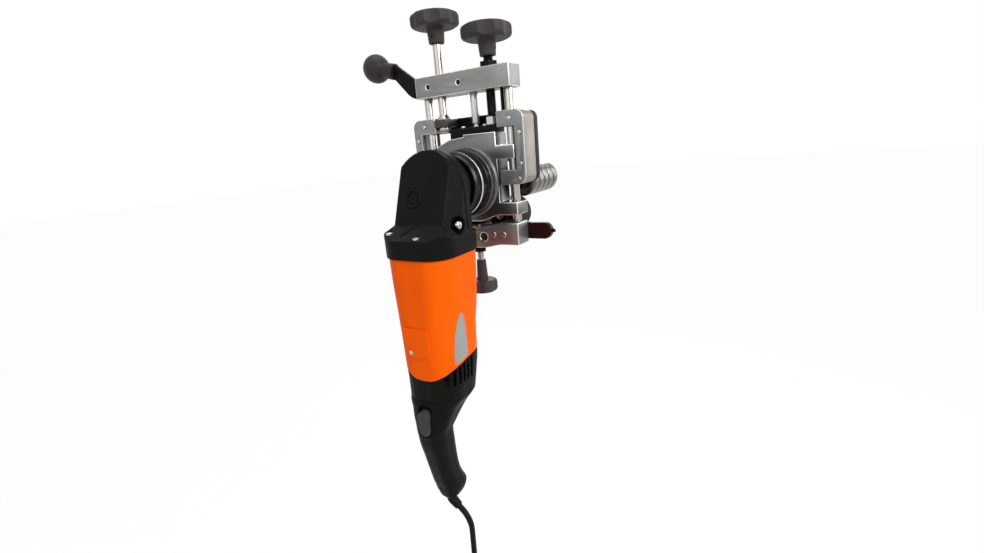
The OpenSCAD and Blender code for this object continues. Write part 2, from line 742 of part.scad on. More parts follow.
// motor housing, tapering down, its lower edge a shallow tongue at the front
function body_rings(g) = [
  ring(0, mot_y - 6, motor_w/2 - 6 - g, motor_w/2 - 5 - g, 24 - g, -182),
  ring(0, mot_y - 4.5, motor_w/2 - 4.5 - g, motor_w/2 - 4 - g, 24 - g, -165),
  ring(0, mot_y - 2, motor_w/2 - 2.2 - g, motor_w/2 - 1.8 - g, 25 - g, -110),
  ring(0, mot_y - 0.8, motor_w/2 - 0.6 - g, motor_w/2 - 0.5 - g, 25 - g, -75),
  ring(0, mot_y, motor_w/2 - g, motor_w/2 - g, 25 - g, flange_z)];

module below_edge() {
  xs = [for (k = [-10:10]) k*6];
  translate([0, -145, 0]) rotate([8, 0, 0]) translate([0, 145, 0]) slab(-220, 0) polygon(concat(
    [for (x = xs) [x, edge_z + 14*pow(min(abs(x), 36)/36, 2)]], [[60, -320], [-60, -320]]));
}

module motor_housing() {
  color([0.95, 0.36, 0.06]) difference() {
    loft(body_rings(0));
    translate([0, 0, -1]) loft(body_rings(3));
    translate([0, 0, 1]) loft(body_rings(3));
    below_edge();
    rod_along_y(1.5, mot_y - 60, mot_y - 20, -10, -143.5);
    rod_along_y(1.5, mot_y + 20, mot_y + 60, 0, -141);
  }
}

module brush_covers() {
  color([0.93, 0.35, 0.06]) difference() {
    union() {
      translate([-17, mot_y - motor_w/2 - 1.4, -148.5]) cube([30, 6, 31]);
      translate([-16, mot_y + motor_w/2 - 10, -145.5]) cube([32, 6.4, 29]);
    }
    loft(body_rings(0));
    rod_along_y(1.5, mot_y - 60, mot_y - 20, -10, -143.5);
    rod_along_y(1.5, mot_y + 20, mot_y + 60, 0, -141);
  }
}

module stator() {
  color([0.3, 0.3, 0.32]) translate([0, mot_y - 0.4, -120]) difference() {
    cylinder(r = motor_w/2 - 8, h = 46);
    translate([0, 0.4, -1]) cylinder(r = motor_w/2 - 14, h = 48);
  }
}

module vent_ring() {
  color([0.08, 0.08, 0.08]) difference() {
    union() {
      intersection() {
        loft(body_rings(0));
        below_edge();
      }
      loft([ring(0, mot_y - 8, motor_w/2 - 7, motor_w/2 - 6.5, 23, bell_z),
        ring(0, mot_y - 6, motor_w/2 - 6, motor_w/2 - 5, 24, -182)]);
    }
    difference() {
      translate([0, 0, -1]) loft([ring(0, mot_y - 8, motor_w/2 - 10, motor_w/2 - 9.5, 20, bell_z - 1),
        ring(0, mot_y - 6, motor_w/2 - 9, motor_w/2 - 8, 21, -182),
        ring(0, mot_y - 4.5, motor_w/2 - 7.5, motor_w/2 - 7, 21, -165),
        ring(0, mot_y - 3, motor_w/2 - 6, motor_w/2 - 6, 22, -130)]);
      translate([-40, mot_y - 40, -184]) cube([80, 80, 10]);
    }
    rod_up(11, -178, -170, 0, mot_y);
    rod_up(6, -190, -170, 0, mot_y);
    for (s = [-1, 1]) for (i = [0:5]) translate([s > 0 ? 22 : -42, -140.4 + i*6.5, -181])
      cube([20, 3.6, 20.5 + i*0.8]);
  }
}

// handle rings: the grip leans back as it goes down, with a heel at the rear of its end
module handle_shell() {
  color([0.09, 0.09, 0.09]) difference() {
    loft([ring(0, cord_y, 7.5, 7.5, 7.3, grip_end), ring(0, cord_y + 1.8, 11.5, 12, 10, grip_end + 4),
      ring(0, cord_y + 3.4, 14, 15, 12, grip_end + 9), ring(0, cord_y + 3.2, 15.5, 16.5, 12.5, grip_end + 16),
      ring(0, cord_y - 0.5, 15, 15.8, 12, grip_end + 25), ring(0, cord_y - 3.8, 14.6, 15, 11.5, grip_end + 35),
      ring(0, cord_y - 6.8, 14.8, 15.2, 11.5, grip_end + 49), ring(0, cord_y - 9, 15.4, 16, 12, grip_end + 63),
      ring(0, cord_y - 11.2, 16.2, 17, 12.5, grip_end + 77), ring(0, grip_y - 5.3, 17, 17.5, 13, grip_z - 18),
      ring(0, grip_y - 2, 19.5, 20, 15, grip_z - 10), ring(0, grip_y + 2.5, 22.5, 23.5, 17, grip_z - 1),
      ring(0, grip_y + 8, 26, 26.5, 19, grip_z + 8), ring(0, grip_y + 12.5, 29.5, 30, 22, bell_z - 4),
      ring(0, mot_y - 8, motor_w/2 - 7, motor_w/2 - 6.5, 23, bell_z)]);
    loft([ring(0, cord_y - 3.8, 7, 7, 6.8, grip_end + 35), ring(0, cord_y - 6.8, 11, 11.5, 9, grip_end + 49),
      ring(0, cord_y - 11.2, 13, 13.5, 10, grip_end + 77), ring(0, grip_y - 2, 16, 16.5, 12, grip_z - 10),
      ring(0, grip_y + 8, 22.5, 23, 16, grip_z + 8), ring(0, mot_y - 8, motor_w/2 - 10, motor_w/2 - 9.5, 20, bell_z + 1)]);
    translate([0, grip_y - 30, switch_z + 2]) rotate([-90, 0, 0]) linear_extrude(17)
      switch_outline(7.5, 16.3);
    rod_up(5.6, grip_end - 1, grip_end + 12, 0, cord_y);
  }
}

// long oval of the switch, r wide, reach long
module switch_outline(r, reach) {
  square([2*r, 2*(reach - r)], center = true);
  for (s = [-1, 1]) translate([0, s*(reach - r)]) circle(r = r);
}

module switch_button() {
  color([0.3, 0.3, 0.31]) translate([0, grip_y - 23.4, switch_z]) rotate([-90, 0, 0])
    linear_extrude(8) switch_outline(7.2, 14);
}

module cord_boot() {
  color([0.06, 0.06, 0.06]) difference() {
    union() {
      loft(tube_rings(smooth(boot_path, 3), boot_sizes, 16));
      rod_up(5.6, grip_end, grip_end + 12, 0, cord_y);
    }
    rod_up(2, grip_end + 5, grip_end + 13, 0, cord_y);
  }
}

module lock_button() {
  color([0.8, 0.8, 0.8]) translate([0, -109, -21]) rotate([0, 90, 0]) rotate_extrude()
    polygon([[0, 14], [2.5, 14], [2.5, 33], [4.2, 33], [4.2, 36.4], [3.8, 37.6], [2.8, 38.4], [1.4, 38.8],
      [0, 38.9]]);
}

module feed_screw() {
  r = screw_d/2;
  color([0.06, 0.06, 0.06]) {
    rod_up(r, bracket_top + 8, feed_knob_z + 12, feed_x, screw_y);
    translate([feed_x, screw_y, bracket_top + 0.2]) cylinder(d = 15, h = 8.5, $fn = 6);
    rod_up(r - 1.5, plate_top + 0.2, bracket_top + 1, feed_x, screw_y);
  }
}

module feed_knob() {
  color([0.08, 0.08, 0.08]) top_knob(feed_x, feed_knob_z, 100);
}

// spindle with the milling head
module spindle() {
  color([0.6, 0.6, 0.62]) difference() {
    union() {
      rod_along_y(spindle_d/2, crown_y + 1.5, 9, 0, ax_z);
      rod_along_y(spindle_d/2 + 2, y_back - 3, y_back + 1.5, 0, ax_z);
    }
    rod_along_y(3, -6, 10, 0, ax_z);
  }
}

module crown_gear() {
  color([0.5, 0.48, 0.45]) difference() {
    union() {
      rod_along_y(crown_pitch + 2.5, crown_y + 1.5, crown_y + 8, 0, ax_z);
      for (i = [0:crown_teeth-1]) translate([0, 0, ax_z]) rotate([0, (i + 0.5)*360/crown_teeth, 0])
        translate([-0.75, crown_y - 1, -crown_pitch - 1.5]) cube([1.5, 3, 3]);
    }
    rod_along_y(spindle_d/2, crown_y - 1, crown_y + 9, 0, ax_z);
  }
}

module milling_head() {
  r = cutter_d/2;
  color([0.35, 0.35, 0.37]) difference() {
    turned_y(0, ax_z) polygon([[spindle_d/2, y_back + 1.5], [r - 1, y_back + 1.5], [r, y_back + 2.5], [r, -3],
      [r - 11.5, 8.5], [r - 11.5, 9], [spindle_d/2, 9]]);
    for (i = [0:3]) translate([0, 0, ax_z]) rotate([0, 90*i, 0]) insert_pocket(0.02);
  }
}

// seat of one cutting insert on the cone
module insert_pocket(g) {
  translate([cutter_d/2 - 5.5, 2.6, 0]) rotate([0, 0, 45]) translate([-4.5, -4.5, -g])
    cube([9, 9, 20 + g]);
}

module cutter_inserts() {
  color([0.75, 0.62, 0.2]) for (i = [0:3]) translate([0, 0, ax_z]) rotate([0, 90*i, 0])
    translate([cutter_d/2 - 5.5, 2.6, 0]) rotate([0, 0, 45]) translate([-4.5, -4.5, 0]) difference() {
      cube([9, 9, 3.2]);
      translate([4.5, 4.5, -1]) cylinder(r = 1.7, h = 6);
    }
}

module cutter_screws() {
  color([0.3, 0.3, 0.3]) {
    rod_along_y(3, -6, 9, 0, ax_z);
    rod_along_y(spindle_d/2 + 1.5, 9, 13, 0, ax_z);
    for (i = [0:3]) translate([0, 0, ax_z]) rotate([0, 90*i, 0])
      translate([cutter_d/2 - 5.5, 2.6, 0]) rotate([0, 0, 45]) {
        cylinder(r = 1.7, h = 3.2);
        translate([0, 0, 3.2]) cylinder(r = 2.6, h = 1.2);
      }
  }
}

// motor shaft with its windings
module armature() {
  color([0.55, 0.35, 0.2]) {
    rod_up(3.5, -34, -4, 0, mot_y);
    rod_up(6, -60, -33, 0, mot_y);
    rod_up(4, -178, -60, 0, mot_y);
    rod_up(motor_w/2 - 15, -118, -76, 0, mot_y);
    rod_up(motor_w/2 - 8, -66, -58, 0, mot_y);
    rod_up(13, -160, -140, 0, mot_y);
  }
}

module pinion() {
  color([0.5, 0.48, 0.45]) translate([0, mot_y, -13]) difference() {
    union() {
      cylinder(r = 5.6, h = 8);
      for (i = [0:pin_teeth-1]) rotate(90 + i*360/pin_teeth) linear_extrude(8)
        polygon([[5, -0.9], [7, -0.75], [8, -0.5], [8, 0.5], [7, 0.75], [5, 0.9]]);
    }
    translate([0, 0, -1]) cylinder(r = 3.5, h = 10);
  }
}

// cord
module mains_cord() {
  p = smooth(cord_points, 3);
  color([0.05, 0.05, 0.05]) loft(tube_rings(p, [for (q = p) cord_d/2], 10));
}

// oval loops wound toward the operator, then a straight tail down to the plug
function loop_point(a) = [hank_x*sin(a), cord_y - hank_pitch*(a - 90)/360, hank_z + hank_h*cos(a)];
hank_path = concat([for (k = [0:24*hank_loops]) loop_point(90 + 15*k)],
  [for (k = [1:8]) [hank_x, tail_y, hank_z - 15*k]]);

// least clear space between neighbouring turns of the hank
hank_gap = min([for (k = [0:24*(hank_loops-1)]) norm(hank_path[k] - hank_path[k + 24])]) - cord_d;
echo(hank_gap = hank_gap);

module cord_hank() {
  color([0.05, 0.05, 0.05]) loft(tube_rings(hank_path, [for (q = hank_path) cord_d/2], 6));
}

module hank_tie() {
  y0 = tail_y - cord_d/2 + hank_pitch*0.25;
  y1 = cord_y + cord_d/2 - hank_pitch*0.25;
  w = cord_d/2 + 0.5;
  color([0.1, 0.1, 0.1]) difference() {
    translate([-hank_x - w - 1.4, y0 - 2.4, hank_z - 6]) cube([2*w + 2.8, y1 - y0 + 4.8, 12]);
    translate([-hank_x - w, y0 - 1, hank_z - 7]) cube([2*w, y1 - y0 + 2, 14]);
  }
}

module plug() {
  color([0.07, 0.07, 0.07]) translate([hank_x, tail_y, tail_z]) {
    rotate_extrude() polygon([[0, 0], [4.4, 0], [4.8, -4], [7, -16], [12, -22], [17, -27], [18.5, -31],
      [18.5, -48], [17.5, -50], [0, -50]]);
    for (s = [-1, 1]) translate([s*9.5, 0, -69]) cylinder(r = 2.4, h = 20);
  }
}

crossbar();
guide_rods();
bottom_bar();
jam_nuts();
handle_arm();
ball_knob();
end_shoes();
frame_screws();
inner_axles();
inner_roller_left();
inner_roller_right();
stop_pad();
stop_screw();
stop_knob();
c_block_left();
c_block_right();
front_plate_left();
front_plate_right();
rear_plate_left();
rear_plate_right();
tie_bar();
screw_lug();
slide_pin();
roller_axles();
carriage_screws();
outer_roller_left();
outer_roller_right();
clamp_screw();
clamp_knob();
main_plate();
feed_bracket();
guide_pin();
neck_collar();
clamp_ring();
chip_guard();
bearings();
gear_head();
head_cap();
motor_screws();
motor_housing();
brush_covers();
stator();
vent_ring();
handle_shell();
cord_boot();
feed_screw();
feed_knob();
spindle();
crown_gear();
milling_head();
cutter_inserts();
cutter_screws();
armature();
pinion();
lock_button();
switch_button();
mains_cord();
cord_hank();
hank_tie();
plug();
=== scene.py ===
import bmesh
import bpy
import json
import math
from mathutils import Matrix, Vector


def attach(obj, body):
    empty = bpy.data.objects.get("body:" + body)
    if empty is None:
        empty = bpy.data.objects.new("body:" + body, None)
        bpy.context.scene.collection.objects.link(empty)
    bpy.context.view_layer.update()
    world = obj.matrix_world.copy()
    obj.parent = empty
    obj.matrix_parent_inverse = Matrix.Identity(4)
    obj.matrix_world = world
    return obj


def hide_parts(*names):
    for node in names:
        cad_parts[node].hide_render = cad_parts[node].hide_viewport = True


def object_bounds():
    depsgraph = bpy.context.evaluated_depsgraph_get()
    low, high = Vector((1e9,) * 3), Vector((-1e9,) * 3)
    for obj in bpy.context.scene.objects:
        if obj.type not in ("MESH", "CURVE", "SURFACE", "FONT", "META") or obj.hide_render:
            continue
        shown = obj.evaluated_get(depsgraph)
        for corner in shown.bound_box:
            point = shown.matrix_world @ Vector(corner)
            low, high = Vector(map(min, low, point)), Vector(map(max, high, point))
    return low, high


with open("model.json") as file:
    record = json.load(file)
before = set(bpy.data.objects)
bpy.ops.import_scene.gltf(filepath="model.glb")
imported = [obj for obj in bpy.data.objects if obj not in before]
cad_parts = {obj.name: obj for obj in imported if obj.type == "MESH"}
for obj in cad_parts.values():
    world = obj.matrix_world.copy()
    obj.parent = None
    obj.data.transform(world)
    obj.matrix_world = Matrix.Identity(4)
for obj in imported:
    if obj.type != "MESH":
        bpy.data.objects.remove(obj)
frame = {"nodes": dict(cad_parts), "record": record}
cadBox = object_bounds()
cadNodes = frame["nodes"]
mm = 0.001
bodyOf = {n: b for b, ns in frame["record"]["behaviour"]["bodies"].items() for n in ns}
slotOf = {s["node"]: s["material_slot"] for s in frame["record"]["subparts"]}
print("frame loaded,", len(cadNodes), "nodes")


# camera at the photograph's place, before anything else
shot = {"place": (293.5, -472.95, 47.5), "turn": 31.72, "down": 15.27, "roll": -4.73,
        "focal": 471.82, "imageWide": 984, "sensor": 36.0, "clip": (0.02, 60)}


def placeCamera():
    turn, down, roll = (math.radians(shot[k]) for k in ("turn", "down", "roll"))
    ahead = Vector((-math.sin(turn) * math.cos(down), math.cos(turn) * math.cos(down), -math.sin(down)))
    right = Vector((math.cos(turn), math.sin(turn), 0))
    up = right.cross(ahead)
    imageRight = right * math.cos(roll) + up * math.sin(roll)
    imageUp = up * math.cos(roll) - right * math.sin(roll)
    data = bpy.data.cameras.new("photoCamera")
    data.sensor_width = shot["sensor"]
    data.lens = shot["sensor"] * shot["focal"] / shot["imageWide"]
    data.clip_start, data.clip_end = shot["clip"]
    cam = link("photoCamera", data)
    place = Matrix((imageRight, imageUp, -ahead)).transposed().to_4x4()
    place.translation = Vector(shot["place"]) * mm
    cam.matrix_world = place
    bpy.context.scene.camera = cam


def link(name, data):
    piece = bpy.data.objects.new(name, data)
    bpy.context.scene.collection.objects.link(piece)
    return piece


placeCamera()
print("camera placed")


# small helpers for shapes, all in millimetres until the mesh is written
def pieceFrom(name, bm, node=None, finishes=None, body=None, sharpAngle=38):
    bmesh.ops.recalc_face_normals(bm, faces=bm.faces)
    bmesh.ops.scale(bm, vec=(mm, mm, mm), verts=bm.verts)
    mesh = bpy.data.meshes.new(name)
    bm.to_mesh(mesh)
    bm.free()
    piece = link(name, mesh)
    for f in finishes or [finish[slotOf[node]]]:
        mesh.materials.append(f)
    mesh.polygons.foreach_set("use_smooth", [True] * len(mesh.polygons))
    mesh.set_sharp_from_angle(angle=math.radians(sharpAngle))
    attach(piece, body or bodyOf[node])
    if node:
        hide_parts(node)
    return piece


def addRings(bm, rings, capFirst=True, capLast=True, finishIndex=0):
    rows = [[bm.verts.new(p) for p in ring] for ring in rings]
    count = len(rows[0])
    for low, high in zip(rows, rows[1:]):
        for i in range(count):
            j = (i + 1) % count
            bm.faces.new((low[i], low[j], high[j], high[i])).material_index = finishIndex
    for cap, row in ((capFirst, rows[0][::-1]), (capLast, rows[-1])):
        if cap:
            bm.faces.new(row).material_index = finishIndex


def axisFrame(along):
    along = Vector(along).normalized()
    side = along.orthogonal().normalized()
    return along, side, along.cross(side)


def pointsAround(middle, side, over, radius, steps):
    angles = [2 * math.pi * i / steps for i in range(steps)]
    return [middle + (side * math.cos(a) + over * math.sin(a)) * radius for a in angles]


def addLathe(bm, foot, along, profile, steps=48, finishIndex=0, caps=True):
    along, side, over = axisFrame(along)
    rings = [pointsAround(Vector(foot) + along * reach, side, over, radius, steps)
             for radius, reach in profile]
    addRings(bm, rings, caps, caps, finishIndex)


def roundedRing(cx, cy, hx, hy, corner, z, perCorner=16):
    ring = []
    for k in range(4):
        sx, sy = (1 if k in (0, 3) else -1), (1 if k < 2 else -1)
        for j in range(perCorner):
            a = math.radians(90 * k + 90 * j / (perCorner - 1))
            ring.append(Vector((cx + sx * (hx - corner) + corner * math.cos(a),
                                cy + sy * (hy - corner) + corner * math.sin(a), z)))
    return ring


def evenRing(ring, count):  # the same outline with evenly spaced points
    ends = ring[1:] + ring[:1]
    lengths = [(b - a).length for a, b in zip(ring, ends)]
    total, out, k, passed = sum(lengths), [], 0, 0.0
    for i in range(count):
        reach = total * i / count
        while passed + lengths[k] < reach:
            passed += lengths[k]
            k += 1
        t = (reach - passed) / lengths[k] if lengths[k] > 0 else 0
        out.append(ring[k].lerp(ends[k], t))
    return out


def curveThrough(points, steps):
    pts = [Vector(p) for p in points]
    pts = [pts[0] * 2 - pts[1]] + pts + [pts[-1] * 2 - pts[-2]]
    out = []
    for i in range(1, len(pts) - 2):
        a, b, c, d = pts[i - 1:i + 3]
        for k in range(steps):
            t = k / steps
            out.append(0.5 * ((2 * b) + (c - a) * t + (2 * a - 5 * b + 4 * c - d) * t ** 2
                              + (3 * b - a - 3 * c + d) * t ** 3))
    return out + [pts[-2]]


def smoothStep(a, b, v):
    t = min(max((v - a) / (b - a), 0), 1)
    return t * t * (3 - 2 * t)


def nodeShape(node):
    bm = bmesh.new()
    bm.from_mesh(cadNodes[node].data)
    bmesh.ops.scale(bm, vec=(1 / mm,) * 3, verts=bm.verts)
    bmesh.ops.remove_doubles(bm, verts=bm.verts, dist=0.002)
    bmesh.ops.dissolve_limit(bm, angle_limit=math.radians(0.4), verts=bm.verts, edges=bm.edges)
    return bm


def breakEdges(bm, width, segments=2, finishIndex=-1, angle=32):
    edges = [e for e in bm.edges if len(e.link_faces) == 2 and e.calc_face_angle(0) > math.radians(angle)]
    bmesh.ops.bevel(bm, geom=edges, offset=width, offset_type="OFFSET", segments=segments, profile=0.6,
                    affect="EDGES", clamp_overlap=False, material=finishIndex)


def dressNode(node, width, segments=2):
    bm = nodeShape(node)
    breakEdges(bm, width, segments)
    return pieceFrom(node + "Dressed", bm, node)


# bright chamfers: polished metal that also stands in as a painted edge highlight; the dull circle keeps the
# plain finish
def polishAndHighlightEdges(node, width, dull):  # bright edges, but not inside the dull circle
    bm = nodeShape(node)
    breakEdges(bm, width, finishIndex=1)
    for f in bm.faces:
        if dull and all(math.hypot(v.co.x - dull[0], v.co.z - dull[1]) < dull[2] for v in f.verts):
            f.material_index = 0
    return pieceFrom(node + "Dressed", bm, node, [finish[slotOf[node]], polishAndHighlightFinish])


def mouldedShape(node, voxel, rounds):
    rough = link(node + "Rough", cadNodes[node].data.copy())
    remesh = rough.modifiers.new("voxels", "REMESH")
    remesh.mode, remesh.voxel_size = "VOXEL", voxel * mm
    ease = rough.modifiers.new("ease", "SMOOTH")
    ease.factor, ease.iterations = 0.5, rounds
    bpy.context.view_layer.update()
    shaped = bpy.data.meshes.new_from_object(rough.evaluated_get(bpy.context.evaluated_depsgraph_get()))
    bpy.data.objects.remove(rough)
    bm = bmesh.new()
    bm.from_mesh(shaped)
    bpy.data.meshes.remove(shaped)
    bmesh.ops.scale(bm, vec=(1 / mm,) * 3, verts=bm.verts)
    return bm


def moulded(node, voxel, rounds, sharpAngle=75):
    return pieceFrom(node + "Moulded", mouldedShape(node, voxel, rounds), node, sharpAngle=sharpAngle)


# shared shader groups
def newGroup(name, inputs, outputs):
    tree = bpy.data.node_groups.new(name, "ShaderNodeTree")
    for label, kind, value in inputs:
        socket = tree.interface.new_socket(label, in_out="INPUT", socket_type=kind)
        socket.default_value = value
    for label in outputs:
        tree.interface.new_socket(label, in_out="OUTPUT", socket_type="NodeSocketFloat")
    return tree, tree.nodes.new("NodeGroupInput"), tree.nodes.new("NodeGroupOutput")


def groupNode(tree, group):
    n = tree.nodes.new("ShaderNodeGroup")
    n.node_tree = group
    return n


def setOrLink(tree, socket, value):
    if isinstance(value, (int, float)):
        socket.default_value = value
    elif isinstance(value, tuple):
        socket.default_value = (*value, 1)
    else:
        tree.links.new(value, socket)


def mathNode(tree, operation, first, second, clamp=False):
    n = tree.nodes.new("ShaderNodeMath")
    n.operation, n.use_clamp = operation, clamp
    for socket, value in zip(n.inputs, (first, second)):
        setOrLink(tree, socket, value)
    return n.outputs[0]


def mixColours(tree, mask, first, second):
    n = tree.nodes.new("ShaderNodeMix")
    n.data_type = "RGBA"
    for socket, value in ((n.inputs[0], mask), (n.inputs[6], first), (n.inputs[7], second)):
        setOrLink(tree, socket, value)
    return n.outputs[2]


def rampNode(tree, source, low, high):
    n = tree.nodes.new("ShaderNodeMapRange")
    n.interpolation_type = "SMOOTHSTEP"
    tree.links.new(source, n.inputs["Value"])
    n.inputs["From Min"].default_value, n.inputs["From Max"].default_value = low, high
    return n.outputs[0]


def noiseNode(tree, place, scale, detail, roughness=0.5):
    n = tree.nodes.new("ShaderNodeTexNoise")
    n.inputs["Detail"].default_value, n.inputs["Roughness"].default_value = detail, roughness
    tree.links.new(place, n.inputs["Vector"])
    tree.links.new(scale, n.inputs["Scale"])
    return n.outputs["Fac"]


def surfaceGrain():
    tree, given, out = newGroup("surfaceGrain", [("Stretch", "NodeSocketVector", (1, 1, 1)),
                                                 ("Scale", "NodeSocketFloat", 400.0),
                                                 ("Cloud Scale", "NodeSocketFloat", 30.0)],
                                ["Grain", "Cloud"])
    place = tree.nodes.new("ShaderNodeTexCoord").outputs["Object"]
    scaled = tree.nodes.new("ShaderNodeVectorMath")
    scaled.operation = "MULTIPLY"
    tree.links.new(place, scaled.inputs[0])
    tree.links.new(given.outputs["Stretch"], scaled.inputs[1])
    grain = noiseNode(tree, scaled.outputs[0], given.outputs["Scale"], 3.0, 0.6)
    cloud = noiseNode(tree, place, given.outputs["Cloud Scale"], 4.0, 0.6)
    tree.links.new(grain, out.inputs["Grain"])
    tree.links.new(cloud, out.inputs["Cloud"])
    return tree


def edgeWear():
    tree, given, out = newGroup("edgeWear", [("Reach", "NodeSocketFloat", 0.0008),
                                             ("Amount", "NodeSocketFloat", 0.6),
                                             ("Patch Scale", "NodeSocketFloat", 160.0)], ["Mask"])
    rounded = tree.nodes.new("ShaderNodeBevel")
    rounded.samples = 4
    tree.links.new(given.outputs["Reach"], rounded.inputs["Radius"])
    dot = tree.nodes.new("ShaderNodeVectorMath")
    dot.operation = "DOT_PRODUCT"
    tree.links.new(rounded.outputs[0], dot.inputs[0])
    tree.links.new(tree.nodes.new("ShaderNodeNewGeometry").outputs["Normal"], dot.inputs[1])
    edge = rampNode(tree, mathNode(tree, "SUBTRACT", 1.0, dot.outputs["Value"]), 0.01, 0.12)
    place = tree.nodes.new("ShaderNodeTexCoord").outputs["Object"]
    patch = noiseNode(tree, place, given.outputs["Patch Scale"], 5.0)
    worn = mathNode(tree, "MULTIPLY", edge, rampNode(tree, patch, 0.38, 0.62))
    tree.links.new(mathNode(tree, "MULTIPLY", worn, given.outputs["Amount"], clamp=True), out.inputs["Mask"])
    return tree


grainGroup, wearGroup = surfaceGrain(), edgeWear()
plainLook = {"stretch": (1, 1, 1), "cloud": 26.0, "cloudRough": 0.05, "speck": 0.12,
             "speckColour": (0.0, 0.0, 0.0), "roughVary": 0.08, "metal": 0.0, "specular": 0.5, "wear": 0.0,
             "wearReach": 0.0009, "wearColour": (0.6, 0.58, 0.55), "bump": 0.15, "bumpDeep": 0.0002,
             "cloudRange": (0.3, 0.7), "grainRange": (0.25, 0.75)}


def makeFinish(name, given):
    look = {**plainLook, "second": tuple(c * 0.8 for c in given["base"]), **given}
    mat = bpy.data.materials.new(name)
    mat.use_nodes = True
    tree = mat.node_tree
    shader = tree.nodes["Principled BSDF"]
    grain = groupNode(tree, grainGroup)
    for label, key in (("Stretch", "stretch"), ("Scale", "grain"), ("Cloud Scale", "cloud")):
        grain.inputs[label].default_value = look[key]
    cloud = rampNode(tree, grain.outputs["Cloud"], *look["cloudRange"])
    fine = rampNode(tree, grain.outputs["Grain"], *look["grainRange"])
    colour = mixColours(tree, cloud, look["base"], look["second"])
    colour = mixColours(tree, mathNode(tree, "MULTIPLY", fine, look["speck"]), colour, look["speckColour"])
    rough = mathNode(tree, "ADD", look["rough"] - look["roughVary"] / 2,
                     mathNode(tree, "MULTIPLY", fine, look["roughVary"]))
    rough = mathNode(tree, "ADD", rough, mathNode(tree, "MULTIPLY", cloud, look["cloudRough"]))
    if look["wear"] > 0:
        wear = groupNode(tree, wearGroup)
        wear.inputs["Reach"].default_value = look["wearReach"]
        wear.inputs["Amount"].default_value = look["wear"]
        colour = mixColours(tree, wear.outputs["Mask"], colour, look["wearColour"])
    tree.links.new(colour, shader.inputs["Base Color"])
    tree.links.new(rough, shader.inputs["Roughness"])
    shader.inputs["Metallic"].default_value = look["metal"]
    shader.inputs["Specular IOR Level"].default_value = look["specular"]
    bump = tree.nodes.new("ShaderNodeBump")
    bump.inputs["Strength"].default_value = look["bump"]
    bump.inputs["Distance"].default_value = look["bumpDeep"]
    tree.links.new(grain.outputs["Grain"], bump.inputs["Height"])
    tree.links.new(bump.outputs[0], shader.inputs["Normal"])
    return mat


